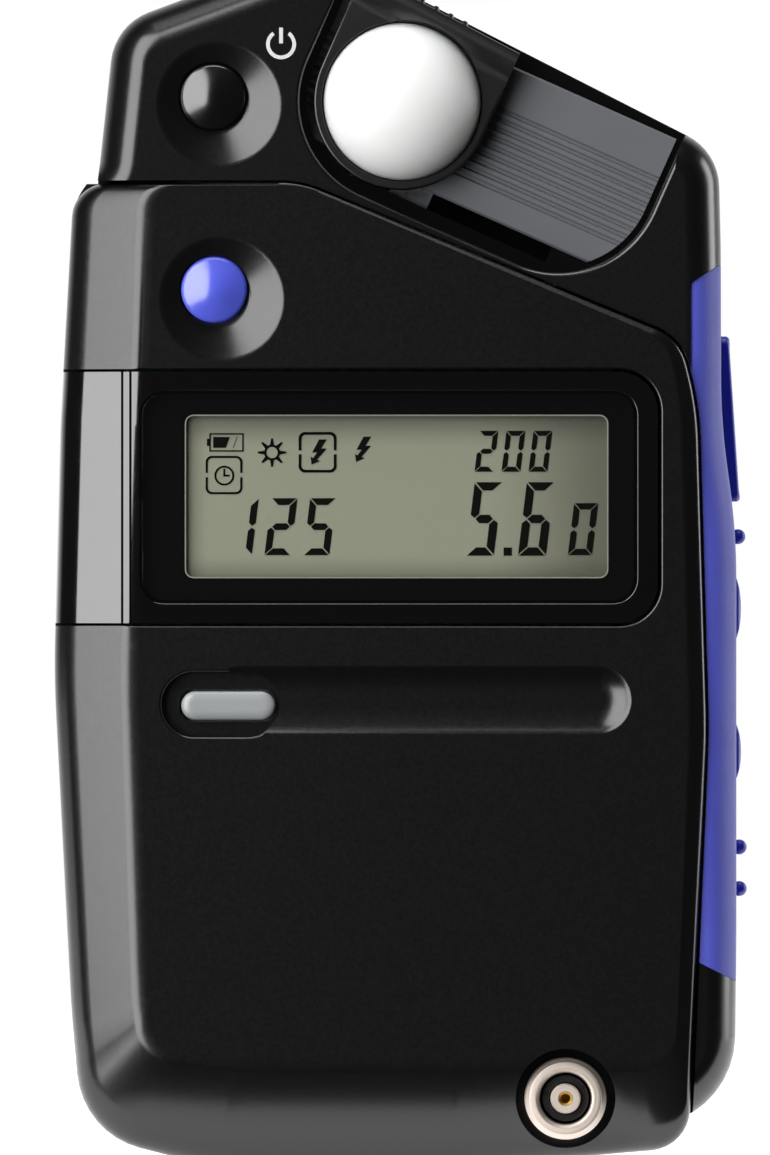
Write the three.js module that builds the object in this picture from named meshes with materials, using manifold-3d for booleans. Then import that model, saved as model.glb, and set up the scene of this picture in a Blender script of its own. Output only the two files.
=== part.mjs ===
// Hand-held flash meter, in millimetres. X runs across the face, Y from the face to the back, Z up.
import * as THREE from 'three';
import { mergeVertices } from 'three/addons/utils/BufferGeometryUtils.js';
import Module from 'manifold-3d';

const wasm = await Module();
wasm.setup();

// Overall size of the case
const bodyWidth = 63;
const bodyHeight = 110;
const bodyDepth = 20.5;
const headStep = 1.2;
const domeProud = 1.5;
const partingDepth = 13;
const bevelDepth = 6;

// Walls, joints between pieces, and cuts
const wall = 1.6;
const faceWall = 1.5;
const seam = 0.25;
const overrun = 5;

// The channel that the dome slides in. The head above the display is as tall as the channel needs.
const channel = {
  endRadius: 9.3, floorDepth: 4.7, trayWall: 1.3, headroom: 20, sideRoom: 6.39, radiusShare: 0.2642,
};
const headHeight = channel.endRadius / channel.radiusShare;
const headShare = 0.32;

// Depth planes: the back of the case is at zero and the face is in front of it
const yBack = 0;
const yFace = -bodyDepth;
const yHead = yFace + headStep;
const yParting = -partingDepth;
const yInner = yFace + faceWall;
const yBackWall = yBack - wall;

// Smoothness of the round shapes, in steps
const cornerSteps = 4;
const roundSteps = 32;
const fineSteps = 20;

// Rims of the head and of the back: how far each is drawn in, over what depth
const rim = { inset: 3, depth: 4 };
const backRim = { inset: 2.6, depth: 4 };

// Corner radii of the outlines. A corner of the head holds the rim and the wall inside it.
const cornerSpare = 0.86;
const corner = {
  notch: 1.9, tight: 3.15, small: 3.9, medium: 4.7, rim: rim.inset + faceWall + cornerSpare, low: 8.3,
  wide: 10, broad: 12, gentle: 60,
};

// Outlines, counter-clockwise from the left end of the base. Each row is a corner: its place across and
// its place up, as shares of the width and the height of the case, and its radius. A corner with no
// radius is a single point on a long, nearly straight side.
const coverOutlineShares = [
  [-0.262, 0, corner.wide], [0.071, 0, corner.broad], [0.415, 0.018, corner.small],
  [0.4405, 0.364, 0], [0.427, 0.632, corner.gentle], [0.402, 0.688, corner.medium],
  [-0.146, 0.8173, corner.wide], [-0.4755, 0.8173, corner.tight], [-0.495, 0.618, 0],
  [-0.504, 0.409, 0], [-0.479, 0.132, 0], [-0.4635, 0.029, corner.low],
];
const coverFlatShares = [
  [-0.23, 0.0855, corner.wide], [0.079, 0.0845, corner.broad], [0.403, 0.0845, corner.tight],
  [0.4275, 0.364, 0], [0.4145, 0.632, corner.gentle], [0.393, 0.6825, corner.small],
  [-0.149, 0.811, corner.wide], [-0.368, 0.811, corner.tight], [-0.381, 0.618, 0],
  [-0.393, 0.409, 0], [-0.381, 0.2, 0], [-0.37, 0.0945, corner.small],
];
const rearOutlineShares = [
  [-0.262, 0, corner.wide], [0.071, 0, corner.broad], [0.4825, 0.049, corner.low], [0.4845, 0.2, 0],
  [0.4845, 0.527, corner.gentle], [0.4625, 0.62, corner.gentle], [0.462, 0.764, 0],
  [0.4585, 0.844, corner.rim], [-0.075, 1, corner.wide], [-0.178, 1, corner.broad],
  [-0.416, 0.949, corner.rim], [-0.438, 0.832, corner.notch], [-0.4755, 0.803, corner.rim],
  [-0.495, 0.618, 0], [-0.504, 0.409, 0], [-0.479, 0.132, 0], [-0.4635, 0.029, corner.low],
];
const headRightShare = 0.462;
const boardShares = [[-0.15, 0.79], [-0.15, 0.93], [-0.34, 0.93], [-0.4, 0.88]];
const boardStepShare = 0.67;

// Sections of the rims: how far a ring has gone from the flat face to the outline, or how far it is
// drawn in, and how deep it lies.
const bevelShares = [[1, 0], [0.31, 0.43], [0.09, 0.7], [0, 1]];
const headRimShares = [[1, 0], [0.45, 0.18], [0.13, 0.55], [0, 1]];
const backRimShares = [[1, 0], [0.42, 0.18], [0.12, 0.55], [0, 1]];

// Finishes
const blackPlastic = { color: 0x1c1c1e, roughness: 0.55, metalness: 0 };
const glossBlack = { color: 0x0b0b0d, roughness: 0.12, metalness: 0 };
const greyPlastic = { color: 0x5f6164, roughness: 0.5, metalness: 0 };
const keyGrey = { color: 0xafb2b2, roughness: 0.3, metalness: 0 };
const domeWhite = { color: 0xf6f6f4, roughness: 0.5, metalness: 0 };
const gripBlue = { color: 0x6264bd, roughness: 0.6, metalness: 0 };
const keyBlue = { color: 0x1424a0, roughness: 0.4, metalness: 0 };
const modeBlue = { color: 0x4b50d7, roughness: 0.3, metalness: 0 };
const displayGlass = { color: 0x878978, roughness: 0.2, metalness: 0 };
const clearPane = { color: 0xe8ecec, roughness: 0.05, metalness: 0, transparent: true, opacity: 0.25 };
const boardGreen = { color: 0x1d5a35, roughness: 0.5, metalness: 0 };
const chipBlack = { color: 0x202022, roughness: 0.5, metalness: 0 };
const rubberGrey = { color: 0x8a8a8c, roughness: 0.8, metalness: 0 };
const nickel = { color: 0xc8beb9, roughness: 0.25, metalness: 1 };
const gold = { color: 0xc9a45c, roughness: 0.3, metalness: 1 };
const steel = { color: 0xa5a7aa, roughness: 0.35, metalness: 1 };
const cellWrap = { color: 0x9a9ea6, roughness: 0.4, metalness: 0.3 };

// Solids: every shape is welded, turned to face out and handed to the boolean library
function weld(geometry) {
  geometry.deleteAttribute('normal');
  geometry.deleteAttribute('uv');
  const welded = mergeVertices(geometry);
  const index = [];
  for (let i = 0; i < welded.index.count; i += 3) {
    const corners = [0, 1, 2].map((k) => welded.index.getX(i + k));
    if (new Set(corners).size === 3) index.push(...corners);
  }
  welded.setIndex(index);
  return welded;
}

function signedVolume(geometry) {
  const position = geometry.getAttribute('position');
  const points = [new THREE.Vector3(), new THREE.Vector3(), new THREE.Vector3()];
  let total = 0;
  for (let i = 0; i < geometry.index.count; i += 3) {
    points.forEach((point, k) => point.fromBufferAttribute(position, geometry.index.getX(i + k)));
    total += points[0].dot(points[1].cross(points[2]));
  }
  return total;
}

function solid(shape) {
  if (!(shape instanceof THREE.BufferGeometry)) return shape;
  const geometry = weld(shape);
  const triVerts = Uint32Array.from(geometry.index.array);
  if (signedVolume(geometry) < 0) triVerts.reverse();
  const vertProperties = Float32Array.from(geometry.getAttribute('position').array);
  return new wasm.Manifold(new wasm.Mesh({ numProp: 3, vertProperties, triVerts }));
}

function join(first, ...others) {
  return others.reduce((whole, other) => whole.add(solid(other)), solid(first));
}

function cut(first, ...others) {
  return others.reduce((whole, other) => whole.subtract(solid(other)), solid(first));
}

function common(first, second) {
  return solid(first).intersect(solid(second));
}

function asGeometry(shape) {
  const { vertProperties, triVerts } = solid(shape).getMesh();
  const geometry = new THREE.BufferGeometry();
  geometry.setAttribute('position', new THREE.BufferAttribute(vertProperties, 3));
  geometry.setIndex(new THREE.BufferAttribute(triVerts, 1));
  return geometry;
}

// The height of a share of the whole. The head keeps its own height, and what is below it takes the rest.
function heightAt(share) {
  if (share > 1 - headShare) return bodyHeight - ((1 - share) / headShare) * headHeight;
  return (share / (1 - headShare)) * (bodyHeight - headHeight);
}

// A place on the face, from its shares of the width and the height
function place(xShare, zShare) {
  return { x: xShare * bodyWidth, z: heightAt(zShare) };
}

// The corner's arc as a cubic curve, so that every corner has the same number of points. An arc takes
// less than half of each edge, so that two arcs never meet.
const arcEndShare = 0.48;

function cornerArc(before, point, after, radius) {
  const inward = point.clone().sub(before);
  const outward = after.clone().sub(point);
  const longest = Math.min(inward.length(), outward.length()) * arcEndShare;
  inward.normalize();
  outward.normalize();
  const turn = Math.acos(THREE.MathUtils.clamp(inward.dot(outward), -1, 1));
  const reach = Math.min(radius * Math.tan(turn / 2), longest);
  const pull = reach * (1 - (4 / 3) * Math.tan(turn / 4) / Math.tan(turn / 2));
  const start = point.clone().addScaledVector(inward, -reach);
  const end = point.clone().addScaledVector(outward, reach);
  const startPull = point.clone().addScaledVector(inward, -pull);
  const endPull = point.clone().addScaledVector(outward, pull);
  return new THREE.CubicBezierCurve(start, startPull, endPull, end).getPoints(cornerSteps);
}

function plainOutline(rows) {
  return rows.map(([x, z]) => new THREE.Vector2(x * bodyWidth, heightAt(z)));
}

function roundedOutline(rows) {
  const points = plainOutline(rows);
  const count = points.length;
  return points.flatMap((point, i) => {
    const before = points[(i + count - 1) % count];
    const after = points[(i + 1) % count];
    return rows[i][2] === 0 ? [point] : cornerArc(before, point, after, rows[i][2]);
  });
}

// An outline moved outward, or inward with a minus sign
function grow(points, by) {
  const count = points.length;
  const normalOf = (a, b) => new THREE.Vector2(b.y - a.y, a.x - b.x).normalize();
  return points.map((point, i) => {
    const first = normalOf(points[(i + count - 1) % count], point);
    const second = normalOf(point, points[(i + 1) % count]);
    const middle = first.clone().add(second).normalize();
    return point.clone().addScaledVector(middle, by / middle.dot(first));
  });
}

function between(outer, inner, share) {
  return outer.map((point, i) => point.clone().lerp(inner[i], share));
}

// A closed body through rings of equal point counts, from the front ring to the back ring
function loft(rings) {
  const count = rings[0].points.length;
  const vertices = rings.flatMap(({ points, y }) => points.flatMap((p) => [p.x, y, p.y]));
  const index = [];
  for (let ring = 0; ring + 1 < rings.length; ring += 1) {
    for (let i = 0; i < count; i += 1) {
      const a = ring * count + i;
      const b = ring * count + ((i + 1) % count);
      index.push(a, b + count, b, a, a + count, b + count);
    }
  }
  const last = (rings.length - 1) * count;
  const triangulate = (points) => THREE.ShapeUtils.triangulateShape(points, []);
  for (const [a, b, c] of triangulate(rings[0].points)) index.push(a, b, c);
  for (const [a, b, c] of triangulate(rings[rings.length - 1].points)) {
    index.push(last + a, last + c, last + b);
  }
  const geometry = new THREE.BufferGeometry();
  geometry.setAttribute('position', new THREE.Float32BufferAttribute(vertices, 3));
  geometry.setIndex(index);
  return geometry;
}

function slab(points, yFront, yRear) {
  return loft([{ points, y: yFront }, { points, y: yRear }]);
}

function block(xMin, xMax, yMin, yMax, zMin, zMax) {
  const box = new THREE.BoxGeometry(xMax - xMin, yMax - yMin, zMax - zMin);
  return box.translate((xMin + xMax) / 2, (yMin + yMax) / 2, (zMin + zMax) / 2);
}

// A rounded rectangle seen from the front
function panelOutline({ x, z }, width, height, radius) {
  const limit = Math.min(radius, width / 2, height / 2);
  const centres = [[1, -1], [1, 1], [-1, 1], [-1, -1]];
  const points = centres.flatMap(([sideX, sideZ], quarter) => {
    const centre = new THREE.Vector2(x + sideX * (width / 2 - limit), z + sideZ * (height / 2 - limit));
    return Array.from({ length: cornerSteps + 1 }, (_, k) => {
      const angle = (quarter - 1 + k / cornerSteps) * (Math.PI / 2);
      return new THREE.Vector2(Math.cos(angle), Math.sin(angle)).multiplyScalar(limit).add(centre);
    });
  });
  const apart = (a, b) => a.distanceTo(b) > limit / (cornerSteps * cornerSteps);
  return points.filter((point, i) => apart(point, points[(i + 1) % points.length]));
}

function panel(at, width, height, radius, yFront, yRear) {
  return slab(panelOutline(at, width, height, radius), yFront, yRear);
}

function rod({ x, z }, radius, yFront, yRear, steps = fineSteps) {
  const rodShape = new THREE.CylinderGeometry(radius, radius, yRear - yFront, steps);
  return rodShape.translate(x, (yFront + yRear) / 2, z);
}

// A turned piece: its profile is rows of radius and depth
function turned({ x, z }, profile, steps = roundSteps) {
  const points = profile.map(([radius, y]) => new THREE.Vector2(radius, y));
  return new THREE.LatheGeometry(points, steps).translate(x, 0, z);
}

// A shallow round hollow: a ball that meets the face in a circle of the given radius
function dish({ x, z }, radius, depth, yFront) {
  const ball = (radius * radius + depth * depth) / (2 * depth);
  const sphere = new THREE.SphereGeometry(ball, roundSteps, roundSteps);
  return sphere.translate(x, yFront + depth - ball, z);
}

const meter = new THREE.Group();

function add(name, shape, finish, group = meter) {
  const mesh = new THREE.Mesh(asGeometry(shape), new THREE.MeshStandardMaterial(finish));
  mesh.name = name;
  group.add(mesh);
}

// Case shells before they are cut: outlines in the face plane
const coverOutline = roundedOutline(coverOutlineShares);
const coverFlat = roundedOutline(coverFlatShares);
const rearOutline = roundedOutline(rearOutlineShares);

function coverShell(thickness, outline = coverOutline, flat = coverFlat) {
  const rings = bevelShares.map(([share, depthShare]) => ({
    points: grow(between(outline, flat, share), -thickness),
    y: yFace + thickness + depthShare * bevelDepth,
  }));
  return loft([...rings, { points: grow(outline, -thickness), y: yParting + thickness }]);
}

function rimRings(shares, inset, depth, yEdge, direction, thickness) {
  return shares.map(([share, depthShare]) => ({
    points: grow(rearOutline, -share * inset - thickness),
    y: yEdge + direction * (thickness + depthShare * depth),
  }));
}

// The strip of the right side that the grip takes, from its lower to its upper end
const grip = {
  bottomShare: 0.163, topShare: 0.747, innerShare: 0.3, thickness: 2.2, slant: 2.4,
  frontGap: 1.5, backGap: 1.4, frontInset: 2.8, backInset: 1.2, rimDepth: 4, backRim: 2.2,
};
const gripBottom = heightAt(grip.bottomShare);
const gripTop = heightAt(grip.topShare);
const gripFront = yFace + grip.frontGap;
const gripBack = yBack - grip.backGap;

const gripInner = grip.innerShare * bodyWidth;
const gripDrop = grip.slant * (bodyWidth - gripInner) / (bodyWidth / 2 - gripInner);

// The grip's ends slant, so its region is a four-sided slab
function gripEnds(clearance) {
  const bottom = gripBottom + grip.slant / 2 - clearance;
  const top = gripTop - grip.slant / 2 + clearance;
  return {
    lower: [new THREE.Vector2(gripInner, bottom), new THREE.Vector2(bodyWidth, bottom - gripDrop)],
    upper: [new THREE.Vector2(bodyWidth, top + gripDrop), new THREE.Vector2(gripInner, top)],
  };
}

function gripRegion(clearance) {
  const { lower, upper } = gripEnds(clearance);
  return slab([...lower, ...upper], gripFront - clearance, gripBack + clearance);
}

const gripSeatOutline = grow(rearOutline, -grip.thickness - seam);
const gripCoreOutline = grow(rearOutline, -grip.thickness - seam - wall);
const throughCase = [yFace - overrun, yBack + overrun];

// Dome channel: a trough that is turned down to the right about the dome's centre. In the channel's
// own frame X runs along it and Z across it.
const domeCentre = place(0, 0.8851);
const channelTurn = THREE.MathUtils.degToRad(24);
const headRight = headRightShare * bodyWidth;
const travel = (headRight - channel.sideRoom) / Math.cos(channelTurn) - channel.endRadius;
const yTray = yHead + channel.floorDepth;
const yTrayBack = yTray + channel.trayWall;

function intoChannel(geometry) {
  return geometry.rotateY(channelTurn).translate(domeCentre.x, 0, domeCentre.z);
}

// The trough's outline, grown by a wall: two round lower corners and straight sides up
function troughOutline(by) {
  const radius = channel.endRadius + by;
  const arc = (centre, from) => Array.from({ length: cornerSteps * 2 + 1 }, (_, k) => {
    const angle = from + (k / (cornerSteps * 2)) * (Math.PI / 2);
    return new THREE.Vector2(centre + radius * Math.cos(angle), radius * Math.sin(angle));
  });
  return [
    ...arc(0, Math.PI), ...arc(travel, Math.PI + Math.PI / 2),
    new THREE.Vector2(travel + radius, channel.headroom),
    new THREE.Vector2(-radius, channel.headroom),
  ];
}

// Battery: one AA cell lies across the lower back, in a walled bay behind the door
const cell = { radius: 7.25, clearance: 0.3, leftRoom: 5.1, rightRoom: 7.4 };
const cellLength = bodyWidth - cell.leftRoom - cell.rightRoom;
const cellLeft = cell.leftRoom - bodyWidth / 2;
const cellRight = cellLeft + cellLength;
const cellZ = heightAt(0.2);
const yCell = yBackWall - 2 * cell.clearance - cell.radius;
const nub = { radius: 2.75, height: 1 };
const bay = { wall: 0.9, springRoom: 2.3, contactRoom: 0.5 };
const bayLeft = cellLeft - bay.springRoom;
const bayRight = cellRight + bay.contactRoom;
const bayHalf = cell.radius + cell.clearance;

// Face keys. Each has a round or long cap, a stem through the case and a flange behind the wall.
const faceKey = {
  radius: 3, proud: 0.3, crown: 1.1, clearance: 0.2, flange: 0.8, flangeThickness: 0.6, stem: 1.5,
  dishRadius: 5.6, dishDepth: 1.2, bossWall: 1.2, bossDepth: 0.9, travel: 0.5,
};
const keyCrownShares = [[0, 0], [0.5, 0.17], [0.8, 0.46], [1, 1]];
const powerAt = place(-0.2732, 0.8889);
const powerDishAt = place(-0.2646, 0.8826);
const modeAt = place(-0.2717, 0.729);
const modeDishAt = place(-0.2606, 0.7212);

// Main board and the switches on it: a square body with a round plunger towards its key
const board = { thickness: 1.2, setBack: 0.6, clearance: 0.25, bayGap: 2.55, sideGap: 0.6 };
const yBoard = yParting + board.setBack;
const yBoardBack = yBoard + board.thickness;
const tact = { size: 6, body: 2, plunger: 1.2, rise: 0.75, gap: 0.15 };
const yPlunger = yBoard - tact.body - tact.rise;
const yStem = yPlunger - tact.gap - faceKey.travel;

// The power key stands in the head's face as the mode key does in the main face, and both stems end at
// the same depth
const keyHole = faceKey.radius + faceKey.clearance;
const keyFlange = keyHole + faceKey.flange;

function keySeat(shell, at, dishAt, yFront, yWall) {
  const boss = rod(at, keyHole + faceKey.bossWall, yWall - faceKey.bossDepth, yWall + faceKey.bossDepth);
  const hole = rod(at, keyHole, yFront - overrun, yWall + overrun);
  const hollow = dish(dishAt, faceKey.dishRadius, faceKey.dishDepth, yFront);
  return cut(join(shell, boss), hollow, hole);
}

function roundKey(at, yFront, yWall) {
  const yTop = yFront - faceKey.proud;
  const yFlange = yWall + faceKey.bossDepth + faceKey.clearance;
  const yFlangeBack = yFlange + faceKey.flangeThickness;
  const crown = keyCrownShares.map(([reach, drop]) => [
    reach * faceKey.radius, yTop + drop * faceKey.crown,
  ]);
  return turned(at, [
    ...crown, [faceKey.radius, yFlange], [keyFlange, yFlange], [keyFlange, yFlangeBack],
    [faceKey.stem, yFlangeBack], [faceKey.stem, yStem], [0, yStem],
  ]);
}

// Display: the band's bezel carries the pane, the mask behind it and the segment display
const band = { right: 1.9, top: 1.7, bottom: 1.8, radius: 3.6, depth: 6.1 };
const bezelWall = 2.6;
const viewAt = place(-0.0079, 0.5577);
const view = { sideRoom: 24.4, height: 14.9, radius: 0.8 };
const viewWidth = bodyWidth - view.sideRoom;
const displayWindow = {
  left: 4.15, right: 2.6, top: 2.2, bottom: 2.3, radius: 2, setBack: 0.1, thickness: 0.9,
};
const windowWidth = viewWidth + displayWindow.left + displayWindow.right;
const windowHeight = view.height + displayWindow.top + displayWindow.bottom;
const windowAt = {
  x: viewAt.x + (displayWindow.right - displayWindow.left) / 2,
  z: viewAt.z + (displayWindow.top - displayWindow.bottom) / 2,
};
const mask = { thickness: 0.3, lip: 1 };
const lcd = { margin: 1.6, thickness: 1.6, frameWall: 1.2, radius: 0.5 };
const zebra = { inset: 2.9, height: 2 };
const lcdWidth = viewWidth + 2 * lcd.margin;
const lcdHeight = view.height + 2 * lcd.margin;
const frameWidth = lcdWidth + 2 * seam;
const frameHeight = lcdHeight + 2 * seam;

// The band runs round the left side of the case, so its slab starts beyond it
function bandSlab(clearance) {
  const right = windowAt.x + windowWidth / 2 + band.right;
  const top = windowAt.z + windowHeight / 2 + band.top;
  const bottom = windowAt.z - windowHeight / 2 - band.bottom;
  const middle = { x: (right - bodyWidth) / 2, z: (top + bottom) / 2 };
  const outline = panelOutline(middle, bodyWidth + right, top - bottom, band.radius);
  return slab(grow(outline, clearance), yFace - overrun, yFace + band.depth + clearance);
}

const yPane = yFace + displayWindow.setBack;
const yPaneBack = yPane + displayWindow.thickness;
const yMaskBack = yPaneBack + mask.thickness;
const yBezelBack = yFace + bezelWall;
const yLcd = yBezelBack + seam;
const yLcdBack = yLcd + lcd.thickness;

// ISO key: a long cap in a pocket, with a scooped groove running on to the right
const isoPocket = { width: 10.7, height: 5.9, depth: 1.3 };
const isoPocketAt = place(-0.2627, 0.3855);
const isoKeyAt = place(-0.2512, 0.3845);
const isoKey = { width: 8.55, height: 2.6, setBack: 0.1 };
const groove = { leftShare: -0.28, rightShare: 0.33, height: 6, depth: 0.8 };
const grooveAt = place((groove.leftShare + groove.rightShare) / 2, 0.389);
const grooveShares = [[0, 0], [0.4, 0.62], [0.75, 1]];
const pad = { side: 2.65, height: 8.4, depth: 1.4 };

// Flash cord terminal
const syncAt = place(0.2365, 0.0589);
const sync = {
  recess: 4.55, cupWall: 1.05, front: 1, depth: 4.9, floor: 1.1, ring: 3.73, rimStep: 0.55,
  stepDepth: 0.35, sleeve: 2.1, sleeveSetBack: 0.9, barrel: 1.37, bore: 0.43, tail: 1.8,
};
const ySyncFloor = yFace + sync.depth;
const ySyncTop = yFace + sync.front;

// Case screws, driven from the back into bosses of the two front covers
const screw = {
  shaft: 1, head: 1.9, headHeight: 1.2, setBack: 0.8, reach: 15.5, slotWidth: 0.5, slotLength: 2.3,
  slotDepth: 0.6, boss: 2.4, bore: 1.15, counterbore: 2.2, bayGap: 4.95,
};
const lowScrewZ = cellZ - bayHalf - screw.bayGap;
const screwPlaces = [
  { x: place(-0.389, 0).x, z: lowScrewZ }, { x: place(0.381, 0).x, z: lowScrewZ },
  place(-0.365, 0.842), place(0.389, 0.7636),
];
const rearBoss = screw.boss + wall / 2;
const yScrewSeat = yBack - screw.setBack - screw.headHeight;
const yScrewTip = yBack - screw.reach;
const partingGap = 0.2;

function bosses(places, body) {
  return places.map((at) => common(rod(at, screw.boss, yFace, yParting), body));
}

function pilotHoles(places) {
  return places.map((at) => rod(at, screw.bore, yScrewTip - seam, yBack + overrun));
}

// Main face
const coverSolid = solid(coverShell(0));
const coverScrews = screwPlaces.slice(0, 2);
const headScrews = screwPlaces.slice(2);

function grooveCut() {
  const width = (groove.rightShare - groove.leftShare) * bodyWidth;
  const outline = panelOutline(grooveAt, width, groove.height, groove.height / 2);
  const rings = grooveShares.map(([insetShare, depthShare]) => ({
    points: grow(outline, -insetShare * groove.height / 2), y: yFace + depthShare * groove.depth,
  }));
  return loft([{ points: outline, y: yFace - overrun }, ...rings]);
}

function syncCup() {
  const outer = rod(syncAt, sync.recess + sync.cupWall, yFace, ySyncFloor + sync.floor, roundSteps);
  return common(outer, coverSolid);
}

function makeFrontCover() {
  const padAt = { x: grooveAt.x, z: isoPocketAt.z };
  const padWidth = (groove.rightShare - groove.leftShare) * bodyWidth + 2 * pad.side;
  const padBlock = panel(padAt, padWidth, pad.height, pad.depth, yInner - faceWall / 2,
    yInner + pad.depth);
  const shell = join(cut(coverSolid, coverShell(faceWall)), padBlock, syncCup(),
    ...bosses(coverScrews, coverSolid));
  const pocket = panel(isoPocketAt, isoPocket.width, isoPocket.height, isoPocket.height / 2,
    yFace - overrun, yFace + isoPocket.depth);
  const keySlot = panel(isoKeyAt, isoKey.width + 2 * faceKey.clearance,
    isoKey.height + 2 * faceKey.clearance, isoKey.height / 2, yFace, yInner + overrun);
  const syncBore = rod(syncAt, sync.recess, yFace - overrun, ySyncFloor, roundSteps);
  const syncTailHole = rod(syncAt, sync.sleeve + seam, yFace, yParting);
  const seated = keySeat(shell, modeAt, modeDishAt, yFace, yInner);
  return cut(seated, bandSlab(seam), grooveCut(), pocket, keySlot, syncBore, syncTailHole,
    ...pilotHoles(coverScrews));
}

add('front_cover', makeFrontCover(), blackPlastic);

function makeBezel() {
  const inside = coverShell(bezelWall, plainOutline(coverOutlineShares), plainOutline(coverFlatShares));
  const shell = common(cut(coverSolid, inside), bandSlab(0));
  const recess = panel(windowAt, windowWidth, windowHeight, displayWindow.radius, yFace - overrun,
    yMaskBack + seam);
  const opening = panel(viewAt, viewWidth + 2 * mask.lip, view.height + 2 * mask.lip, view.radius,
    yFace, yBezelBack + overrun);
  const frameRoom = panel(viewAt, frameWidth + 2 * (lcd.frameWall + seam),
    frameHeight + 2 * (lcd.frameWall + seam), lcd.frameWall + seam, yBezelBack, yParting);
  return cut(shell, recess, opening, frameRoom);
}

add('display_bezel', makeBezel(), glossBlack);

const paneWidth = windowWidth - 2 * seam;
const paneHeight = windowHeight - 2 * seam;
add('display_window', panel(windowAt, paneWidth, paneHeight, displayWindow.radius, yPane, yPaneBack),
  clearPane);
const maskSheet = panel(windowAt, paneWidth, paneHeight, displayWindow.radius, yPaneBack + seam / 2,
  yMaskBack + seam / 2);
const maskView = panel(viewAt, viewWidth, view.height, view.radius, yPane, yBezelBack);
add('window_mask', cut(maskSheet, maskView), glossBlack);

add('lcd_panel', panel(viewAt, lcdWidth, lcdHeight, lcd.radius, yLcd, yLcdBack), displayGlass);

// Frame round the display, on the main board
const frameOuter = panel(viewAt, frameWidth + 2 * lcd.frameWall, frameHeight + 2 * lcd.frameWall,
  lcd.frameWall, yLcd, yBoard - seam);
const frameInner = panel(viewAt, frameWidth, frameHeight, lcd.radius, yLcd - overrun, yBoard + overrun);
add('lcd_frame', cut(frameOuter, frameInner), greyPlastic);

const zebraAt = { x: viewAt.x, z: viewAt.z - lcdHeight / 2 + zebra.height };
add('zebra_strip', panel(zebraAt, lcdWidth - 2 * zebra.inset, zebra.height, lcd.radius, yLcdBack + seam,
  yBoard - seam), rubberGrey);

// Where the case's right side lies at a height
function sideAt(z) {
  let across = 0;
  rearOutline.forEach((point, i) => {
    const next = rearOutline[(i + 1) % rearOutline.length];
    if ((point.y - z) * (next.y - z) > 0 || point.y === next.y) return;
    const share = (z - point.y) / (next.y - point.y);
    across = Math.max(across, point.x + share * (next.x - point.x));
  });
  return across;
}

// Side keys: each stands through the grip and the rear shell, with a flange behind the wall
const sideKey = { centreDepth: 8.4, clearance: 0.2, flange: 0.7, flangeThickness: 0.8, travel: 0.5 };
const measuringKey = { height: 15.1, width: 6.8, proud: 0.85 };
const stepKey = { upHeight: 5.7, downHeight: 5.1, width: 5.6, proud: 0.5 };
const ySideKey = yBack - sideKey.centreDepth;
const sideKeys = [
  { name: 'measuring', node: 'measuring_button', middleShare: 0.6223, finish: keyBlue, ...measuringKey },
  {
    name: 'up', node: 'up_key', middleShare: 0.465, finish: gripBlue, height: stepKey.upHeight,
    ...stepKey,
  },
  {
    name: 'down', node: 'down_key', middleShare: 0.346, finish: gripBlue, height: stepKey.downHeight,
    ...stepKey,
  },
];
const sideWall = grip.thickness + seam + wall;

function sideSlab(bottom, top, outerBottom, outerTop, inner, halfWidth) {
  const corners = [[inner, bottom], [outerBottom, bottom], [outerTop, top], [inner, top]];
  const points = corners.map(([x, z]) => new THREE.Vector2(x, z));
  return slab(points, ySideKey - halfWidth, ySideKey + halfWidth);
}

function keySizes({ middleShare, height, width, proud }) {
  const bottom = heightAt(middleShare) - height / 2;
  const top = bottom + height;
  const wallInner = Math.min(sideAt(bottom), sideAt(top)) - sideWall;
  const flangeOuter = wallInner - sideKey.clearance;
  return { bottom, top, half: width / 2, proud, flangeOuter, stem: flangeOuter - sideKey.flangeThickness };
}

// Side board with one switch behind each side key, and the main board beside it. The main board's lower
// edge clears the battery bay.
const sideBoard = { thickness: 1, inset: 3.2, bottomShare: 0.31, topShare: 0.71, half: 3.6 };
const sideBoardX = Math.min(...sideKeys.map((key) => keySizes(key).stem)) - sideBoard.inset;
const boardRight = sideBoardX - sideBoard.thickness - board.sideGap;
const boardBottom = cellZ + bayHalf + bay.wall + board.bayGap;
const boardLeftEdge = plainOutline(boardShares);
const boardOutline = [
  new THREE.Vector2(boardLeftEdge[boardLeftEdge.length - 1].x, boardBottom),
  new THREE.Vector2(boardRight, boardBottom), new THREE.Vector2(boardRight, heightAt(boardStepShare)),
  ...boardLeftEdge,
];
add('main_board', cut(slab(boardOutline, yBoard, yBoardBack),
  ...screwPlaces.map((at) => rod(at, rearBoss + board.clearance, yFace, yBack))), boardGreen);

const chip = { size: 10, thickness: 1.4, radius: 0.4 };
const chipAt = place(-0.08, 0.62);
add('processor_chip', panel(chipAt, chip.size, chip.size, chip.radius, yBoardBack,
  yBoardBack + chip.thickness), chipBlack);

function faceSwitch(at, yTip) {
  const body = panel(at, tact.size, tact.size, tact.gap, yBoard - tact.body, yBoard);
  return join(body, rod(at, tact.plunger, yTip, yBoard - tact.body / 2));
}

// Head: the upper block with the channel
const headSolid = loft([
  ...rimRings(headRimShares, rim.inset, rim.depth, yHead, 1, 0), { points: rearOutline, y: yParting },
]);
const headHollow = loft([
  ...rimRings(headRimShares, rim.inset, rim.depth, yHead, 1, faceWall),
  { points: grow(rearOutline, -wall), y: yParting + overrun },
]);
const headFloorShare = 0.66;
const coverTopShare = 0.8173;
const gripSolid = cut(gripRegion(0), slab(gripSeatOutline, ...throughCase));
const gripCut = cut(gripRegion(seam), slab(gripSeatOutline, ...throughCase));

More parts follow.
